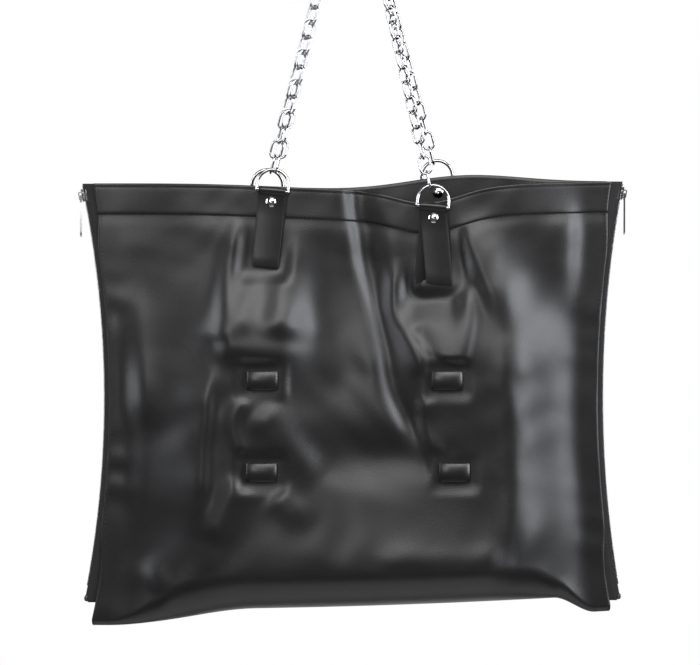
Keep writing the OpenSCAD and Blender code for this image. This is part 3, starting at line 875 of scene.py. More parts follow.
    def bulge_share(self, x: np.ndarray, z: np.ndarray) -> np.ndarray:
        """Works out how much of the full bulge there is.

        Args:
            x, z: Places on the face.

        Returns:
            The share at each place.
        """
        left = ramp((x - self.edge_x(Side.LEFT, z) - self.flat_edge) / self.left_run)
        right = ramp((self.edge_x(Side.RIGHT, z) - x - self.flat_edge) / self.right_run)
        below = -self.handle_drop - self.rim_flat - z
        return left * right * lerp(self.rim_share, 1.0, ramp(below / self.rim_run))

    def inset(self, x: np.ndarray, z: np.ndarray) -> np.ndarray:
        """Returns the distance of places from the nearer leather edge."""
        return np.minimum(x - self.edge_x(Side.LEFT, z), self.edge_x(Side.RIGHT, z) - x)


FRONT_RELIEF = (
    # Shelf above the upper left keeper
    Fold(0.0080, 0.016, 0.050, (
        (-0.132, -0.391), (-0.100, -0.392), (-0.070, -0.395), (-0.028, -0.393)), (0.022, 0.040)),
    # Ridges from the left tab: two to its left, one to its right
    Fold(0.0050, 0.012, 0.011, (
        (-0.104, -0.262), (-0.109, -0.305), (-0.117, -0.342), (-0.127, -0.393)), (0.04, 0.015)),
    Fold(0.0035, 0.010, 0.010, ((-0.090, -0.320), (-0.097, -0.345), (-0.106, -0.388)), (0.04, 0.02)),
    Fold(0.0070, 0.018, 0.024, (
        (-0.054, -0.262), (-0.055, -0.300), (-0.058, -0.330), (-0.062, -0.355),
        (-0.068, -0.390)), (0.08, 0.02)),
    # Left edge of the filled part, down to the base
    Fold(0.0075, 0.080, 0.008, (
        (-0.130, -0.400), (-0.135, -0.440), (-0.140, -0.500), (-0.143, -0.575)), (0.05, 0.06)),
    # Valley from the middle of the rim down beside the right tab
    Fold(-0.0090, 0.010, 0.018, (
        (0.002, -0.240), (0.007, -0.279), (0.014, -0.319), (0.024, -0.360), (0.032, -0.397), (0.037, -0.430),
        (0.053, -0.466), (0.075, -0.490)), (0.012, 0.04)),
    # Diamond under the right tab: two edges, a hollow across it and a valley below that
    Fold(0.0035, 0.009, 0.008, (
        (0.046, -0.310), (0.038, -0.345), (0.039, -0.368), (0.060, -0.400), (0.072, -0.418)), (0.03, 0.01)),
    Fold(0.0040, 0.030, 0.007, (
        (0.092, -0.322), (0.106, -0.352), (0.107, -0.372), (0.101, -0.402), (0.095, -0.417)), (0.03, 0.01)),
    Fold(-0.0075, 0.024, 0.022, ((0.036, -0.347), (0.071, -0.345), (0.110, -0.348)), (0.02, 0.02)),
    Fold(-0.0025, 0.006, 0.008, ((0.056, -0.374), (0.068, -0.395), (0.076, -0.414)), (0.012, 0.012)),
    # Ridge from the right tab, the filled part's right edge, and the step towards the right zip
    Fold(0.0105, 0.013, 0.022, (
        (0.100, -0.262), (0.115, -0.308), (0.129, -0.341), (0.142, -0.385)), (0.06, 0.05)),
    Fold(0.0030, 0.013, 0.050, (
        (0.136, -0.355), (0.146, -0.430), (0.153, -0.505), (0.146, -0.610)), (0.06, 0.05)),
    Fold(0.0060, 0.022, 0.016, ((0.192, -0.240), (0.197, -0.300), (0.191, -0.370)), (0.05, 0.06)),
    # Lower edge of the filled part, and its crest at the right
    Fold(0.0060, 0.018, 0.040, (
        (-0.120, -0.597), (-0.040, -0.599), (0.032, -0.600), (0.100, -0.602), (0.155, -0.598)), (0.06, 0.03)),
    Fold(0.0022, 0.014, 0.012, (
        (0.000, -0.586), (0.050, -0.590), (0.100, -0.591), (0.150, -0.584)), (0.05, 0.03)),
    # Folds between and around the keepers
    Fold(0.0035, 0.008, 0.007, (
        (0.072, -0.437), (0.067, -0.455), (0.070, -0.475), (0.084, -0.499)), (0.012, 0.012)),
    Fold(0.0030, 0.007, 0.007, (
        (-0.097, -0.438), (-0.109, -0.460), (-0.106, -0.480), (-0.097, -0.496)), (0.012, 0.012)),
    Fold(0.0050, 0.018, 0.017, (
        (-0.086, -0.445), (-0.069, -0.471), (-0.053, -0.493), (-0.027, -0.518)), (0.02, 0.03)),
    Fold(0.0040, 0.010, 0.014, ((-0.099, -0.514), (-0.117, -0.540), (-0.136, -0.577)), (0.012, 0.02)),
    Fold(0.0035, 0.014, 0.013, ((-0.072, -0.526), (-0.054, -0.545), (-0.030, -0.558)), (0.012, 0.03)),
    # Swelling beside the left zip, and the crease of the left bottom corner
    Fold(0.0075, 0.018, 0.034, (
        (-0.228, -0.330), (-0.221, -0.383), (-0.210, -0.411), (-0.209, -0.430), (-0.213, -0.453),
        (-0.220, -0.480)), (0.05, 0.04)),
    Fold(0.0040, 0.012, 0.014, ((-0.196, -0.589), (-0.182, -0.614), (-0.176, -0.637))),
    # Slack middle, the hollow between the keepers and the belly below it
    Dimple((-0.014, -0.405), (0.048, 0.075), -0.0150),
    Dimple((0.020, -0.497), (0.065, 0.026), -0.0090),
    Dimple((0.060, -0.600), (0.100, 0.050), 0.0050),
)
REAR_RELIEF = (
    # Ridges from the two tabs, outer and inner, the lower edge and the slack middle
    Fold(0.0050, 0.022, 0.018, (
        (-0.110, -0.290), (-0.124, -0.380), (-0.132, -0.480), (-0.128, -0.580)), (0.06, 0.06)),
    Fold(0.0040, 0.018, 0.024, ((-0.052, -0.280), (-0.040, -0.360), (-0.020, -0.440)), (0.06, 0.06)),
    Fold(0.0045, 0.018, 0.022, ((0.050, -0.280), (0.034, -0.370), (0.020, -0.470)), (0.06, 0.06)),
    Fold(0.0050, 0.020, 0.020, (
        (0.112, -0.290), (0.134, -0.390), (0.142, -0.500), (0.136, -0.590)), (0.06, 0.06)),
    Fold(0.0040, 0.010, 0.036, ((-0.130, -0.606), (0.000, -0.604), (0.140, -0.606))),
    Dimple((0.000, -0.520), (0.080, 0.060), -0.006),
)
KEEPERS = {
    "keeper_upper_left": (-0.083, -0.425),
    "keeper_upper_right": (0.087, -0.425),
    "keeper_lower_left": (-0.084, -0.510),
    "keeper_lower_right": (0.094, -0.510),
}


@dataclass
class LeatherFace:
    """One face of the bag: its panel, its facing inside the rim and its lining."""

    form: BagForm
    face: Face
    columns: int
    body_rows: int
    turn_rows: int
    relief: Relief
    seats: tuple[Seat, ...]
    facing_rows: int = 12
    # Depths of the first rows, close together at the seams
    hem_drops: tuple[float, ...] = (
        0.0, 0.0012, 0.0024, 0.0030, 0.0037, 0.0050, 0.0080, 0.0120, 0.0160, 0.0200, 0.0240, 0.0264, 0.0275,
        0.0281, 0.0285, 0.0289, 0.0295, 0.0306, 0.0324)
    hem_groove: float = 0.0011
    hem_fade: float = 0.0070
    rim_groove: float = 0.00025
    groove_width: float = 0.0008
    pucker: float = 0.0005
    pucker_inset: float = 0.008
    pucker_reach: float = 0.020
    pucker_run: float = 0.004
    swell: float = 0.0004
    ripple: float = 0.00015
    flat_inset: float = 0.006
    flat_run: float = 0.030
    chamfer: float = 0.45
    turn_ease: float = 1.8
    layer_run: float = 0.025
    lining_gap: float = 0.0002
    lining_lift: float = 0.0003
    belly_lift: float = 0.005
    lining_slack: float = 0.014
    slack_run: float = 0.06
    gather: float = 0.0012
    gather_from: float = 0.04
    gather_run: float = 0.08

    @property
    def label(self) -> str:
        """Name of the face in the nodes' names."""
        return self.face.name.lower()

    @property
    def bulge(self) -> float:
        """Full bulge of the face."""
        return self.form.front_bulge if self.face is Face.FRONT else self.form.rear_bulge

    def waves(self, x: np.ndarray, z: np.ndarray) -> np.ndarray:
        """Works out the fine unevenness of soft leather: sines, swayed so that nothing repeats.

        Args:
            x, z: Places on the face.

        Returns:
            Its height at each place.
        """
        slow = np.sin(38 * x + 9 * np.sin(17 * z + 1.3)) * np.sin(29 * z + 6 * np.sin(23 * x) + 0.7)
        quick = np.sin(97 * x + 41 * z + 2.0 * np.sin(60 * z)) * np.sin(83 * z - 36 * x + 0.4)
        return self.swell * slow + self.ripple * quick

    def puckers(self, x: np.ndarray, z: np.ndarray) -> np.ndarray:
        """Works out the gathers along the zips: sines, swayed so that nothing repeats.

        Args:
            x, z: Places on the face.

        Returns:
            Their height at each place.
        """
        gathers = np.zeros(x.shape)
        for side, phase in ((Side.LEFT, 0.0), (Side.RIGHT, 1.9)):
            inset = side.value * (self.form.edge_x(side, z) - x)
            sway = 3.1 * np.sin(37 * z + phase)
            beat = np.sin(120 * z + 40 * x + phase + sway) * np.sin(23 * z + 1 + phase)
            gathers += beat * bell((inset - self.pucker_inset) / self.pucker_reach)
        return self.pucker * gathers

    def smooth(self, x: np.ndarray, z: np.ndarray) -> np.ndarray:
        """Returns the depth of the plain bulging face at places."""
        return self.form.side_depth + self.bulge * self.form.bulge_share(x, z)

    def depth(self, x: np.ndarray, z: np.ndarray) -> np.ndarray:
        """Works out how far the leather stands out from the bag's middle plane.

        Args:
            x, z: Places on the face.

        Returns:
            The depth at each place.
        """
        shape = self.waves(x, z) + self.relief.rise(x, z)
        for seat in self.seats:
            shape = shape * (1 - seat.calm * seat.weight(x, z, seat.calm_fade))
        inset = self.form.inset(x, z)
        shape = shape * ramp((inset - self.flat_inset) / self.flat_run)
        free = self.smooth(x, z) + shape + self.puckers(x, z) * ramp(inset / self.pucker_run)
        weights = [seat.hold * seat.weight(x, z, seat.fade) for seat in self.seats]
        total = np.maximum(sum(weights), LEAST_WEIGHT)
        held = sum(w * seat.depth for w, seat in zip(weights, self.seats)) / total
        loose = np.prod([1 - w for w in weights], axis=0)
        return lerp(free, held, 1 - loose)

    def rows(
        self, u: np.ndarray, drops: Sequence[float], body_rows: int, turn_rows: int,
    ) -> tuple[np.ndarray, ...]:
        """Lays out rows from the rim to the base seam.

        Args:
            u: Shares of the width.
            drops: Depths of the first rows below the rim.
            body_rows: Rows from there to the turn.
            turn_rows: Rows of the turn under the base.

        Returns:
            The rows' heights, turn angles and drops below the rim, each as rows and columns.
        """
        rim = self.form.rim_z(self.face, u)
        turn = self.form.base_z(u) + self.form.turn_height(u)
        heights = [rim - drop for drop in drops]
        heights += [lerp(rim - drops[-1], turn, (k + 1) / body_rows) for k in range(body_rows)]
        angles = [0.0] * len(heights) + [math.pi / 2 * (k + 1) / turn_rows for k in range(turn_rows)]
        z = np.array(heights + [turn] * turn_rows)
        return z, np.array(angles)[:, None] * np.ones_like(u), rim - z

    def upper_rows(self, u: np.ndarray, drops: Sequence[float]) -> tuple[np.ndarray, ...]:
        """Lays out rows at depths below the rim only, in the same form."""
        drop = np.array(drops)[:, None] * np.ones_like(u)
        return self.form.rim_z(self.face, u) - drop, np.zeros_like(drop), drop

    def skin(
        self, u: np.ndarray, rows: tuple[np.ndarray, ...], depth: Callable[..., np.ndarray],
        lift: np.ndarray | float,
    ) -> np.ndarray:
        """Returns the points of a skin.

        Args:
            u: Shares of the width.
            rows: Heights, turn angles and drops of its rows.
            depth: Depth at x, z and drop.
            lift: Height of the skin above the panel's base.

        Returns:
            Rows and columns of points.
        """
        z, angle, drop = rows
        x = lerp(self.form.edge_x(Side.LEFT, z), self.form.edge_x(Side.RIGHT, z), u)
        reach = depth(x, z, drop) - self.form.seam_gap
        share = angle / (math.pi / 2)
        flattened = self.chamfer * self.form.side_share(u)
        out = lerp(np.cos(angle), 1 - share**self.turn_ease, flattened)
        down = lerp(np.sin(angle), share, flattened)
        y = self.face.value * (self.form.seam_gap + reach * out)
        return np.stack([x, y, z - (self.form.turn_height(u) - lift) * down], -1)

    def shell(
        self, name: str, u: np.ndarray, rows: tuple[np.ndarray, ...], depth: Callable[..., np.ndarray],
        inside: Callable[..., np.ndarray], lifts: tuple[np.ndarray | float, np.ndarray | float],
    ) -> bpy.types.Object:
        """Returns a layer of the face as a closed sheet.

        Args:
            name: What the layer is, after the face's label.
            u: Shares of the width.
            rows: Heights, turn angles and drops of its rows.
            depth: Depth of its outside at x, z and drop.
            inside: Depth of its inside.
            lifts: Heights of outside and inside above the panel's base.

        Returns:
            The sheet.
        """
        skins = [self.skin(u, rows, side, lift) for side, lift in zip((depth, inside), lifts)]
        return Shell(f"{self.label}_{name}", *skins, self.face is Face.REAR).build()

    def outside(self, x: np.ndarray, z: np.ndarray, drop: np.ndarray) -> np.ndarray:
        """Works out the panel's outer depth, with the grooves of its seams.

        Args:
            x, z: Places on the face.
            drop: Their depths below the rim.

        Returns:
            The depth at each place.
        """
        past = drop - self.form.hem_seam
        hem = self.hem_groove * bell(past / np.where(past < 0, self.groove_width, self.hem_fade))
        rim = self.rim_groove * bell((drop - self.form.rim_seam) / self.groove_width)
        return self.depth(x, z) - hem - rim

    def panel_inside(self, x: np.ndarray, z: np.ndarray, _drop: np.ndarray) -> np.ndarray:
        """Returns the panel's inner depth."""
        return self.depth(x, z) - self.form.panel_thick

    def layer_gap(self, x: np.ndarray, z: np.ndarray) -> np.ndarray:
        """Works out the room between the panel's outside and the layer within.

        Args:
            x, z: Places on the face.

        Returns:
            The room at each place.
        """
        near = 1 - ramp((self.form.inset(x, z) - self.form.flat_edge) / self.layer_run)
        tape = self.form.tape_thick + self.form.sewn_gap
        return self.form.panel_thick + self.form.sewn_gap + tape * near

    def facing_outside(self, x: np.ndarray, z: np.ndarray, _drop: np.ndarray) -> np.ndarray:
        """Returns the depth of the facing's side towards the panel."""
        return self.depth(x, z) - self.layer_gap(x, z)

    def facing_inside(self, x: np.ndarray, z: np.ndarray, drop: np.ndarray) -> np.ndarray:
        """Returns the depth of the facing's inner face."""
        return self.facing_outside(x, z, drop) - self.form.facing_thick

    def lining_outside(self, x: np.ndarray, z: np.ndarray, drop: np.ndarray) -> np.ndarray:
        """Works out the depth of the lining's side towards the panel: it hangs slack, in gathers.

        Args:
            x, z: Places on the face.
            drop: Their depths below the rim.

        Returns:
            The depth at each place.
        """
        loose = self.lining_slack * ramp((drop - self.form.hem_depth) / self.slack_run)
        run = ramp((drop - self.gather_from) / self.gather_run)
        gathers = self.gather * np.sin(70 * x + 3 * np.sin(20 * z)) * run
        back = (loose + gathers) * self.form.bulge_share(x, z)
        return np.minimum(self.smooth(x, z), self.depth(x, z)) - back - self.layer_gap(x, z)

    def lining_inside(self, x: np.ndarray, z: np.ndarray, drop: np.ndarray) -> np.ndarray:
        """Returns the depth of the lining's inner face."""
        return self.lining_outside(x, z, drop) - self.form.lining_thick

    def panel(self) -> bpy.types.Object:
        """Builds the outer panel.

        Returns:
            The panel.
        """
        u = np.linspace(0.0, 1.0, self.columns + 1)
        rows = self.rows(u, self.hem_drops, self.body_rows, self.turn_rows)
        lifts = (0.0, self.form.panel_thick)
        return self.shell("panel_leather", u, rows, self.outside, self.panel_inside, lifts)

    def facing(self) -> bpy.types.Object:
        """Builds the facing inside the rim.

        Returns:
            The facing.
        """
        u = np.linspace(0.0, 1.0, self.columns // 2 + 1)
        rows = self.upper_rows(u, np.linspace(0.0, self.form.hem_depth, self.facing_rows + 1))
        return self.shell("facing_leather", u, rows, self.facing_outside, self.facing_inside, (0.0, 0.0))

    def lining(self) -> bpy.types.Object:
        """Builds the lining, hung from the facing's lower edge.

        Returns:
            The lining.
        """
        u = np.linspace(0.0, 1.0, self.columns // 3 + 1)
        top = (self.form.hem_depth + self.lining_gap,)
        rows = self.rows(u, top, self.body_rows // 3, self.turn_rows)
        sewn = self.form.panel_thick + self.form.sewn_gap + self.form.tape_thick
        lift = sewn + self.belly_lift * self.form.side_share(u) + self.lining_lift
        lifts = (lift, lift + self.form.lining_thick)
        return self.shell("lining_cloth", u, rows, self.lining_outside, self.lining_inside, lifts)

    def dress(self, finishes: Finishes) -> None:
        """Args:
            finishes: The bag's materials.
        """
        self.declare(fit(self.panel(), [finishes.panel], [f"{self.label}_panel"]))
        self.declare(fit(self.facing(), [finishes.panel], [f"{self.label}_facing"]))
        self.declare(fit(self.lining(), [finishes.lining], [f"{self.label}_lining"]))

    def declare(self, piece: bpy.types.Object) -> None:
        """Logs the size that a layer is cut to: as wide as the leather, and as long as its area makes it.

        Args:
            piece: The layer.
        """
        width = self.form.leather_width
        area = sum(face.area for face in piece.data.polygons) / 2
        log.info("%s: cut %.3f by %.3f m", piece.name, width, area / width)
        area / width


@dataclass
class ZipTape:
    """Woven tape of one zip half: bare edge under the teeth, a bend and a part sewn under the panel."""

    form: BagForm
    side: Side
    face: Face
    edge: float = 0.0016
    bend: float = 0.002
    recess: float = 0.0035
    recess_run: float = 0.003
    wall_steps: int = 5
    bend_steps: int = 8
    lap_steps: int = 8
    lengthwise: int = 160
    ripple: float = 0.0002
    ripple_beat: float = 300.0
    ripple_at: float = 0.007
    ripple_width: float = 0.002

    @property
    def node(self) -> str:
        """Name of the solid that it stands for."""
        return f"{self.side.name}_zip_{self.face.name}_tape".lower()

    def profile(self) -> np.ndarray:
        """Draws the tape's middle line.

        Returns:
            Its points, as inward and depth.
        """
        flat = self.form.tape_apart / 2
        start = self.recess + self.bend
        wall = np.linspace(self.edge, flat - self.bend, self.wall_steps + 1)[:-1]
        turn = np.linspace(math.pi, math.pi / 2, self.bend_steps + 1)
        lap = np.linspace(start, self.form.tape_show + self.form.tape_lap, self.lap_steps + 1)[1:]
        return np.concatenate([
            np.stack([self.recess * ramp((wall - self.edge) / self.recess_run), wall], -1),
            np.stack([start + self.bend * np.cos(turn), flat - self.bend + self.bend * np.sin(turn)], -1),
            np.stack([lap, np.full(len(lap), flat)], -1),
        ])

    def build(self) -> bpy.types.Object:
        """Builds the tape.

        Returns:
            The tape.
        """
        line = self.profile()
        across = unit(np.gradient(line, axis=0))
        normal = np.stack([-across[:, 1], across[:, 0]], -1) * self.form.tape_thick / 2
        radius, centre = self.form.zip_arc(self.side)
        half = math.asin(self.form.zip_height / 2 / radius)
        turn = np.linspace(half, -half, self.lengthwise + 1)[:, None]
        bare = bell((line[:, 0] - self.ripple_at) / self.ripple_width)
        ripple = self.ripple * np.sin(turn * radius * self.ripple_beat) * bare
        rise = radius * np.sin(turn)
        skins = []
        for sign in (1, -1):
            inward, depth = (line + sign * normal).T
            x = self.side.value * (centre - np.sqrt((radius + inward) ** 2 - rise**2))
            z = self.form.zip_middle(self.side) + rise * np.ones_like(x)
            skins.append(np.stack([x, self.face.value * (depth + ripple), z], -1))
        mirrored = self.side.value * self.face.value > 0
        return Shell(f"{self.node}_cloth", *skins, not mirrored).build()

    def dress(self, finishes: Finishes) -> None:
        """Builds the tape and dresses it."""
        fit(self.build(), [finishes.tape], [self.node])


class Bench:
    """One mesh on the workbench, shaped in edit mode as by hand."""

    def __init__(self, name: str) -> None:
        """Takes the primitive that was just added and opens it in edit mode.

        Args:
            name: Name of the piece.
        """
        self.object = bpy.context.object
        self.object.name = name
        bpy.ops.object.mode_set(mode="EDIT")
        bpy.ops.mesh.select_all(action="SELECT")

    @classmethod
    def box(cls, name: str, size: Point, middle: Point) -> "Bench":
        """Opens a new box in edit mode.

        Args:
            name: Name of the piece.
            size: Its sizes.
            middle: Its middle.

        Returns:
            The bench with it.
        """
        bpy.ops.object.select_all(action="DESELECT")
        bpy.ops.mesh.primitive_cube_add(size=1.0)
        bench = cls(name)
        bpy.ops.transform.resize(value=size)
        bench.move(middle)
        return bench

    @classmethod
    def rod(cls, name: str, sides: int, radius: float, length: float) -> "Bench":
        """Opens a new upright rod in edit mode.

        Args:
            name: Name of the piece.
            sides: Number of its sides.
            radius: Its radius.
            length: Its length.

        Returns:
            The bench with it.
        """
        bpy.ops.object.select_all(action="DESELECT")
        bpy.ops.mesh.primitive_cylinder_add(vertices=sides, radius=radius, depth=length)
        return cls(name)

    def pick(self, part: Part, test: Callable[..., bool]) -> None:
        """Selects what passes a test.

        Args:
            part: Whether points, edges or faces are selected.
            test: Takes a point's place, an edge's two ends, or a face's middle and normal.
        """
        bpy.ops.mesh.select_mode(type=part.value)
        bpy.ops.mesh.select_all(action="DESELECT")
        mesh = bmesh.from_edit_mesh(self.object.data)
        if part is Part.POINT:
            chosen = [point for point in mesh.verts if test(point.co)]
        elif part is Part.EDGE:
            chosen = [edge for edge in mesh.edges if test(edge.verts[0].co, edge.verts[1].co)]
        else:
            chosen = [face for face in mesh.faces if test(face.calc_center_median(), face.normal)]
        for item in chosen:
            item.select_set(True)
        if part is Part.POINT:
            mesh.select_flush(True)
        bmesh.update_edit_mesh(self.object.data)

    def move(self, way: Point) -> None:
        """Moves what is selected."""
        bpy.ops.transform.translate(value=way)

    def extrude(self, way: Point) -> None:
        """Extrudes what is selected."""
        bpy.ops.mesh.extrude_region_move(TRANSFORM_OT_translate={"value": way})

    def done(self, place: Matrix, edge_round: float, smooth_deg: float = 40.0) -> bpy.types.Object:
        """Closes edit mode, rounds the edges and sets the piece in its place.

        Args:
            place: Where the piece goes.
            edge_round: Width of the rounding of its edges.
            smooth_deg: Angle up to which it is shaded smooth.

        Returns:
            The finished object, at the origin with its place in its mesh.
        """
        bpy.ops.mesh.select_all(action="SELECT")
        bpy.ops.mesh.remove_doubles(threshold=NEAR / 100)
        bpy.ops.mesh.normals_make_consistent(inside=False)
        bpy.ops.object.mode_set(mode="OBJECT")
        if edge_round:
            rounding = self.object.modifiers.new("edges", "BEVEL")
            rounding.width = edge_round
            rounding.segments = 2
            rounding.limit_method = "ANGLE"
            rounding.angle_limit = math.radians(smooth_deg)
            bpy.ops.object.modifier_apply(modifier=rounding.name)
        self.object.matrix_world = place
        bpy.ops.object.transform_apply(location=True, rotation=True, scale=True)
        bpy.ops.object.shade_smooth_by_angle(angle=math.radians(smooth_deg))
        return self.object


@dataclass
class Tab:
    """Strap folded over a ring's bar, with both leaves on the panel.

    Modelled with x along the bar and z up; out is the sign of the y that points away from the panel.
    """

    name: str
    bar: Point
    tilt: float
    out: int
    lean: float = 0.0
    width: float = 0.025
    length: float = 0.071
    thick: float = 0.0018
    loop_radius: float = 0.0034
    loop_steps: int = 14
    leaf_back: float = -0.0033
    step_in: float = 0.0053
    step_shares: tuple[float, ...] = (0.18, 0.64, 0.18)
    # Shares of the straight run, each with the outward curl at its lower end
    leaf_shares: tuple[Place, ...] = ((0.3, 0.0), (0.3, 0.0), (0.25, 0.0001), (0.15, 0.0004))
    corner: float = 0.0025
    corner_steps: int = 4
    skew: float = 0.0018
    camber: float = 0.0009
    camber_mean: float = 0.6
    camber_cuts: int = 7
    edge_slope: float = 0.6
    edge_round: float = 0.00035
    seat_half: float = 0.014

    @property
    def back(self) -> float:
        """Distance of the back leaf's middle behind the bar."""
        return self.loop_radius - self.thick / 2

    def build(self) -> bpy.types.Object:
        """Builds the strap.

        Returns:
            The strap.
        """
        middle = (0.0, -self.out * self.back, -self.length / 2)
        bench = Bench.box(self.name, (self.width, self.thick, self.length), middle)
        self._camber(bench)
        bench.pick(Part.FACE, lambda middle, normal: normal.z > SQUARE)
        bpy.ops.mesh.spin(
            steps=self.loop_steps, angle=self.out * math.pi, center=(0.0, 0.0, 0.0), axis=(1.0, 0.0, 0.0))
        self._front_leaf(bench)
        self._skew(bench)
        self._round_corners(bench)
        made = bench.done(Matrix.Translation(self.bar) @ Matrix.Rotation(self.tilt, 4, "Y"), self.edge_round)
        self._paint_edges(made)
        return made

    def _camber(self, bench: Bench) -> None:
        """Splits the flat strap lengthwise and domes its outer face.

        Args:
            bench: The strap in edit mode.
        """
        bench.pick(Part.EDGE, lambda p, q: abs(p.x - q.x) > self.width / 2)
        bpy.ops.mesh.subdivide(number_cuts=self.camber_cuts)
        for across in np.linspace(-1.0, 1.0, self.camber_cuts + 2):
            bench.pick(Part.POINT, lambda p: abs(p.x - across * self.width / 2) < NEAR)
            bench.move((0.0, -self.out * self.camber * (1 - across**2 - self.camber_mean), 0.0))

    def _front_leaf(self, bench: Bench) -> None:
        """Draws the front leaf down from the loop: a step in to the back leaf, then the leaning run.

        Args:
            bench: The strap in edit mode.
        """
        drift = math.tan(self.lean)
        # The front leaf's middle lies one and a half thicknesses before the back leaf's back
        step_out = self.leaf_back + 1.5 * self.thick - self.back
        fall = self.step_in / len(self.step_shares)
        bench.pick(
            Part.FACE, lambda p, normal: normal.z < -SQUARE and self.out * p.y > 0 and p.z > -NEAR)
        for share in self.step_shares:
            bench.extrude((drift * fall, self.out * step_out * share, -fall))
        run = self.length - self.step_in
        for share, curl in self.leaf_shares:
            bench.extrude((drift * run * share, self.out * curl, -run * share))
        reach = self.thick / 2 + NEAR / 10
        bench.pick(
            Part.POINT, lambda p: p.z < -self.length + NEAR and abs(p.y + self.out * self.back) < reach)
        bench.move((drift * self.length, 0.0, 0.0))

    def _skew(self, bench: Bench) -> None:
        """Lets the back leaf stand out a little beside the front one, round the loop.

        Args:
            bench: The strap in edit mode.
        """
        for share in np.linspace(0.0, 1.0, self.loop_steps + 1):
            y, z = -self.out * math.cos(math.pi * share), math.sin(math.pi * share)
            bench.pick(
                Part.POINT,
                lambda p: p.z > -NEAR / 10 and abs(p.y * z - p.z * y) < 2 * NEAR and p.y * y + p.z * z > 0)
            bench.move((self.skew * (1 - share) ** 2, 0.0, 0.0))

    def _round_corners(self, bench: Bench) -> None:
        """Rounds the lower corners of both leaves.

        Args:
            bench: The strap in edit mode.
        """
        drift = math.tan(self.lean) * self.length
        reach = self.width / 2 - 2 * NEAR
        bench.pick(
            Part.EDGE,
            lambda *ends: all(p.z < -self.length + NEAR and abs(p.x - drift) > reach for p in ends))
        bpy.ops.mesh.bevel(offset=self.corner, segments=self.corner_steps, affect="EDGES")

    def _paint_edges(self, made: bpy.types.Object) -> None:
        """Gives the strap's cut edges the second material.

        Args:
            made: The strap.
        """
        along = Vector((math.cos(self.tilt), 0.0, -math.sin(self.tilt)))
        for face in made.data.polygons:
            face.material_index = int(abs(face.normal.dot(along)) > self.edge_slope)

    def dress(self, finishes: Finishes) -> None:
        """Builds the tab and dresses it."""
        node = self.name.removesuffix("_strap")
        fit(self.build(), [finishes.strap, finishes.edge], [node])

    def seat(self) -> Seat:
        """Marks the place where the tab calms the folds.

        Returns:
            The seat.
        """
        lean = math.tan(self.lean - self.tilt)
        half = self.length / 2
        return Seat(self.bar[0] + lean * half, self.bar[2] - half, self.seat_half, half, lean=lean)


@dataclass
class Keeper:
    """Short strap bowed out of the front, its ends sewn behind the panel."""

    node: str
    place: Place
    depth: float = 0.043
    sink: float = 0.0004
    width: float = 0.028
    height: float = 0.017
    gap: float = 0.0034
    thick: float = 0.0018
    cuts: int = 9
    behind: float = 0.0017
    flap: float = 0.009
    camber: float = 0.0020
    camber_mean: float = 0.3
    bow: float = 0.0024
    edge_round: float = 0.0007
    smooth_deg: float = 50.0
    seat_margin: Place = (-0.0005, 0.001)

    def build(self) -> bpy.types.Object:
        """Builds the strap.

        Returns:
            The strap.
        """
        half = self.width / 2
        size = (self.width, self.thick, self.height)
        bench = Bench.box(f"{self.node}_strap", size, (0.0, -self.gap - self.thick / 2, 0.0))
        bpy.ops.mesh.subdivide(number_cuts=self.cuts)
        step = self.width / (self.cuts + 1)
        bench.pick(Part.FACE, lambda p, normal: normal.y > SQUARE and abs(p.x) > half - step)
        deep = self.gap + self.sink + self.behind
        bench.extrude((0.0, deep, 0.0))
        bench.extrude((0.0, self.thick, 0.0))
        for end in (-1, 1):
            bench.pick(
                Part.FACE,
                lambda p, way: end * way.x > SQUARE and p.y > deep - self.gap and end * p.x > half - NEAR)
            bench.extrude((end * self.flap, 0.0, 0.0))
        self._dome(bench)
        place = Matrix.Translation((self.place[0], -self.depth, self.place[1]))
        return bench.done(place, self.edge_round, self.smooth_deg)

    def _dome(self, bench: Bench) -> None:
        """Cambers the strap between its long edges, then bows it between its ends.

        Args:
            bench: The strap in edit mode.
        """
        shares = np.linspace(-1.0, 1.0, self.cuts + 2)
        for share in shares:
            level = share * self.height / 2
            bench.pick(Part.POINT, lambda p: abs(p.z - level) < NEAR and p.y < -self.gap + NEAR)
            bench.move((0.0, self.camber * (share**2 - self.camber_mean), 0.0))
        for share in shares:
            level = share * self.width / 2
            bench.pick(
                Part.POINT, lambda p: abs(p.x - level) < NEAR and p.y < -self.gap + self.camber + NEAR)
            bench.move((0.0, self.bow * abs(share) ** 3, 0.0))

    def dress(self, finishes: Finishes) -> None:
        """Builds the keeper and dresses it."""
        fit(self.build(), [finishes.strap], [self.node])

    def seat(self) -> Seat:
        """Returns the place where the keeper holds the leather."""
        sizes = (self.width / 2 + self.seat_margin[0], self.height / 2 + self.seat_margin[1])
        return Seat(*self.place, *sizes, self.depth - self.sink, hold=1.0, calm=0.5, calm_fade=0.014)


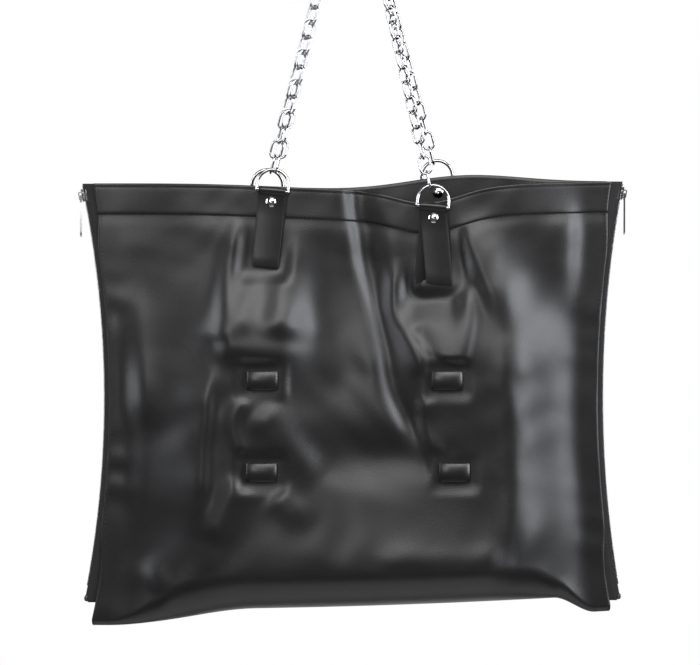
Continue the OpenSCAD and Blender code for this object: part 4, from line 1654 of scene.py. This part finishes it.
@dataclass
class Stitching:
    """Rows of sewn stitches. One stitch is modelled along z, and copied along each row."""

    length: float = 0.0030
    pitch: float = 0.0040
    radius: float = 0.00032
    sides: int = 6
    sunk: float = 0.00030
    tip_inset: float = 0.45
    tip_length: float = 0.6
    sight: float = 0.0008
    points: np.ndarray = field(init=False, repr=False)
    faces: list[list[int]] = field(init=False, repr=False)

    def __post_init__(self) -> None:
        """Models one stitch, and keeps its points and faces."""
        bench = Bench.rod("stitch", self.sides, self.radius, self.length - 2 * self.radius)
        for end in (-1, 1):
            bench.pick(Part.FACE, lambda p, normal: end * normal.z > SQUARE)
            bpy.ops.mesh.inset(thickness=self.radius * self.tip_inset, depth=self.radius * self.tip_length)
        made = bench.done(Matrix.Identity(4), 0.0)
        self.points = np.array([v.co[:] for v in made.data.vertices])
        self.faces = [list(p.vertices) for p in made.data.polygons]
        bpy.data.objects.remove(made)

    def row(self, line: np.ndarray, out: np.ndarray) -> np.ndarray:
        """Lays stitches along a line.

        Args:
            line: Points of the seam.
            out: Directions out of the surface at these points.

        Returns:
            Points of all its stitches, one stitch after the other.
        """
        run = grow(np.linalg.norm(np.diff(line, axis=0), axis=1), 0)
        at = np.arange(self.pitch / 2, run[-1], self.pitch)

        def along(values: np.ndarray, shift: float = 0.0) -> np.ndarray:
            """Returns values of the line at the stitches, or a little before or after them."""
            return np.stack([np.interp(at + shift, run, values[:, k]) for k in range(3)], -1)

        way = unit(along(line, self.sight) - along(line, -self.sight))
        up = along(out)
        up = unit(up - way * np.sum(up * way, axis=1, keepdims=True))
        axes = (np.cross(up, way), up, way)
        local = self.points + (0.0, self.radius - self.sunk, 0.0)
        turned = sum(local[None, :, k, None] * axis[:, None, :] for k, axis in enumerate(axes))
        return (along(line)[:, None, :] + turned).reshape(-1, 3)

    def sew(self, name: str, seams: Sequence[tuple[np.ndarray, np.ndarray]], finishes: Finishes) -> None:
        """Makes one piece of several rows of stitches and dresses it.

        Args:
            name: Name of the piece.
            seams: Each row's line, with the directions out of the surface.
            finishes: The bag's materials.
        """
        points = np.concatenate([self.row(line, out) for line, out in seams])
        starts = range(0, len(points), len(self.points))
        faces = [[v + start for v in face] for start in starts for face in self.faces]
        fit(mesh_object(name, points, faces), [finishes.thread])


@dataclass
class Seams:
    """The bag's visible seams: hem, rim and along the zips."""

    form: BagForm
    stitching: Stitching
    side_margin: float = 0.012
    top_margin: float = 0.004
    bottom_margin: float = 0.002
    beside: float = 0.001
    level_points: int = 700
    upright_points: int = 500

    @staticmethod
    def outward(lines: Sequence[np.ndarray], sign: int) -> tuple[np.ndarray, np.ndarray]:
        """Returns the first of two lines, with the directions out of the surface by a sign of Y."""
        out = np.cross(np.gradient(lines[0], axis=0), lines[1] - lines[0])
        return lines[0], unit(out * np.sign(out[:, 1:2]) * sign)

    def level(self, face: LeatherFace, drop: float, inside: bool) -> tuple[np.ndarray, np.ndarray]:
        """Finds a seam along the rim.

        Args:
            face: The leather face.
            drop: Depth below the rim.
            inside: Whether it is the row inside the bag.

        Returns:
            Its line, and the directions out of the surface.
        """
        u = np.linspace(self.side_margin, 1 - self.side_margin, self.level_points)
        rows = face.upper_rows(u, (drop, drop + self.beside))
        lines = face.skin(u, rows, face.facing_inside if inside else face.outside, 0.0)
        return self.outward(lines, -face.face.value if inside else face.face.value)

    def upright(self, face: LeatherFace, side: Side) -> tuple[np.ndarray, np.ndarray]:
        """Finds a seam along a zip.

        Args:
            face: The leather face.
            side: The zip's side.

        Returns:
            Its line, and the directions out of the surface.
        """
        top = self.form.zip_top(side)
        bottom = top - self.form.zip_height + self.bottom_margin
        z = np.linspace(top - self.top_margin, bottom, self.upright_points)
        lines = []
        for inset in (self.form.zip_seam, self.form.zip_seam + self.beside):
            x = self.form.edge_x(side, z) - side.value * inset
            lines.append(np.stack([x, face.face.value * face.depth(x, z), z], -1))
        return self.outward(lines, face.face.value)

    def dress(self, faces: Sequence[LeatherFace], finishes: Finishes) -> None:
        """Sews all seams.

        Args:
            faces: The leather faces.
            finishes: The bag's materials.
        """
        drops = (self.form.hem_seam, self.form.rim_seam)
        for face in faces:
            levels = [self.level(face, drop, inside) for inside in (False, True) for drop in drops]
            self.stitching.sew(f"{face.label}_rim_stitches", levels, finishes)
            uprights = [self.upright(face, side) for side in Side]
            self.stitching.sew(f"{face.label}_zip_stitches", uprights, finishes)


@dataclass
class Metalwork:
    """The rigid pieces that stay as solids, found by a word in their names, with their finishes."""

    bright: tuple[str, ...] = ("chain", "ring", "rivet", "slider", "pull")
    dull: tuple[str, ...] = ("teeth", "stop")

    def dress(self, finishes: Finishes) -> None:
        """Gives each piece its finish.

        Args:
            finishes: The bag's materials.
        """
        for words, material in ((self.bright, finishes.chrome), (self.dull, finishes.teeth)):
            for name, node in frame["nodes"].items():
                if any(word in name for word in words):
                    node.data.materials.clear()
                    node.data.materials.append(material)
                    log.info("%s: finish %s", name, material.name)


@dataclass
class Lamp:
    """A soft box: its place, what it points at, its size, its power and its tint."""

    name: str
    place: Point
    target: Point
    size: Place
    power: float
    tint: Colour = (1.0, 1.0, 1.0)

    def light(self) -> None:
        """Adds the lamp."""
        data = bpy.data.lights.new(self.name, "AREA")
        data.shape = "RECTANGLE"
        data.size, data.size_y = self.size
        data.energy = self.power
        data.color = self.tint
        made = bpy.data.objects.new(self.name, data)
        made.location = self.place
        made.rotation_euler = (Vector(self.target) - Vector(self.place)).to_track_quat("-Z", "Y").to_euler()
        bpy.context.collection.objects.link(made)


@dataclass
class Studio:
    """Pale floor, white surroundings, soft boxes and the camera.

    The wall and the lit front of the room are given by the Y of the direction that is looked along.
    """

    view_middle: Point = (-0.0023, 0.0, -0.383)
    view_width: float = 0.656
    distance: float = 2.3
    elevation: float = math.radians(3.0)
    sensor_mm: float = 36.0
    far: float = 50.0
    floor_z: float = -1.3
    floor_size: float = 1.0
    wall_from: float = 0.80
    wall_gain: float = 3.0
    front_from: float = -0.2
    front_run: float = 0.5
    white: Colour = (1.0, 1.0, 1.0)
    room: Colour = (0.016, 0.016, 0.016)
    front: Colour = (0.094, 0.094, 0.097)
    lamps: tuple[Lamp, ...] = (
        Lamp("right_box", (1.62, -0.85, 0.05), (0.0, 0.0, -0.45), (0.6, 1.6), 24.0, (0.93, 0.95, 1.0)),
        Lamp("left_box", (-1.6, -0.3, 0.0), (0.0, 0.0, -0.45), (0.5, 1.5), 12.0, (0.93, 0.95, 1.0)),
        Lamp("top_box", (0.25, -1.3, 0.75), (0.0, 0.0, -0.45), (1.6, 0.7), 17.0),
        Lamp("fill_box", (-0.75, -2.2, 0.25), (0.0, 0.0, -0.4), (0.8, 0.8), 8.0),
    )

    def world(self) -> None:
        """Makes the surroundings: a white wall behind the bag, a dim room in front of it."""
        made = bpy.data.worlds.new("studio")
        bpy.context.scene.world = made
        tree = ShaderTree(made)
        rays = tree.node("ShaderNodeLightPath")
        back = tree.node("ShaderNodeSeparateXYZ", {}, {0: tree.place("Generated")}, 1)
        wall = ((back - self.wall_from) / (1.0 - self.wall_from)).clamped()
        around = tree.mix(((self.front_from - back) / self.front_run).clamped(), self.room, self.front)
        mirrored = rays.other("Is Glossy Ray") + rays.other("Is Transmission Ray")
        seen = (wall * self.wall_gain).clamped() * mirrored + rays.other("Is Camera Ray")
        colour = tree.mix(seen.clamped(), around, self.white)
        surface = tree.node("ShaderNodeBackground", {}, {"Color": colour, "Strength": 1.0})
        tree.node("ShaderNodeOutputWorld", {}, {"Surface": surface})

    def floor(self) -> None:
        """Lays the pale floor, which keeps the bag's soft shadow."""
        bpy.ops.object.select_all(action="DESELECT")
        bpy.ops.mesh.primitive_plane_add(size=self.floor_size, location=(0.0, 0.0, self.floor_z))
        made = bpy.context.object
        made.name = "floor"
        bpy.ops.object.transform_apply(location=True, rotation=True, scale=True)
        made.data.materials.append(FLOOR.material())

    def camera(self) -> None:
        """Sets the camera at the photograph's angle."""
        data = bpy.data.cameras.new("camera")
        data.sensor_width = self.sensor_mm
        data.lens = self.sensor_mm * self.distance / self.view_width
        data.clip_end = self.far
        made = bpy.data.objects.new("camera", data)
        back = Vector((0.0, -math.cos(self.elevation), math.sin(self.elevation))) * self.distance
        made.location = Vector(self.view_middle) + back
        made.rotation_euler = (math.pi / 2 - self.elevation, 0.0, 0.0)
        bpy.context.collection.objects.link(made)
        bpy.context.scene.camera = made

    def build(self) -> None:
        """Sets up the studio."""
        bpy.context.scene.view_settings.view_transform = "Standard"
        self.world()
        self.floor()
        self.camera()
        for lamp in self.lamps:
            lamp.light()


@dataclass
class Tote:
    """The whole bag. Each face has a number of columns, of rows to the turn and of rows in the turn."""

    form: BagForm = field(default_factory=BagForm)
    right_lean: float = math.radians(11.0)
    front_grid: tuple[int, int, int] = (230, 150, 18)
    rear_grid: tuple[int, int, int] = (130, 90, 14)

    def tabs(self) -> list[Tab]:
        """Places the four tabs, each on its ring's hinge line.

        Returns:
            The tabs, left ones first, front before rear.
        """
        hinges = {joint["name"]: joint for joint in frame["joints"]}
        made = []
        for side in Side:
            for face in Face:
                stem = f"{face.name}_{side.name}".lower()
                hinge = hinges[f"{stem}_ring_swing"]
                along, _, up = (math.copysign(1.0, hinge["axis"][0]) * part for part in hinge["axis"])
                lean = self.right_lean if stem == "front_right" else 0.0
                bar = tuple(hinge["pos_m"])
                made.append(Tab(f"{stem}_tab_strap", bar, math.atan2(-up, along), face.value, lean))
        return made

    def dress(self, finishes: Finishes) -> None:
        """Builds and dresses every piece.

        Args:
            finishes: The bag's materials.
        """
        tabs = self.tabs()
        keepers = [Keeper(node, place) for node, place in KEEPERS.items()]
        seats = {face: [tab.seat() for tab in tabs if tab.out == face.value] for face in Face}
        seats[Face.FRONT] += [keeper.seat() for keeper in keepers]
        reliefs = {Face.FRONT: Relief(FRONT_RELIEF), Face.REAR: Relief(REAR_RELIEF)}
        grids = {Face.FRONT: self.front_grid, Face.REAR: self.rear_grid}
        faces = [
            LeatherFace(self.form, face, *grids[face], reliefs[face], tuple(seats[face])) for face in Face]
        for face in faces:
            face.dress(finishes)
        for side in Side:
            for face in Face:
                ZipTape(self.form, side, face).dress(finishes)
        for piece in (*tabs, *keepers):
            piece.dress(finishes)
        Seams(self.form, Stitching()).dress(faces, finishes)
        Metalwork().dress(finishes)


def main() -> None:
    """Builds the studio and the bag."""
    logging.basicConfig(level=logging.INFO, format="%(name)s: %(message)s")
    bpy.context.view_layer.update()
    Studio().build()
    Tote().dress(Finishes.mixed())


if __name__ == "__main__":
    main()
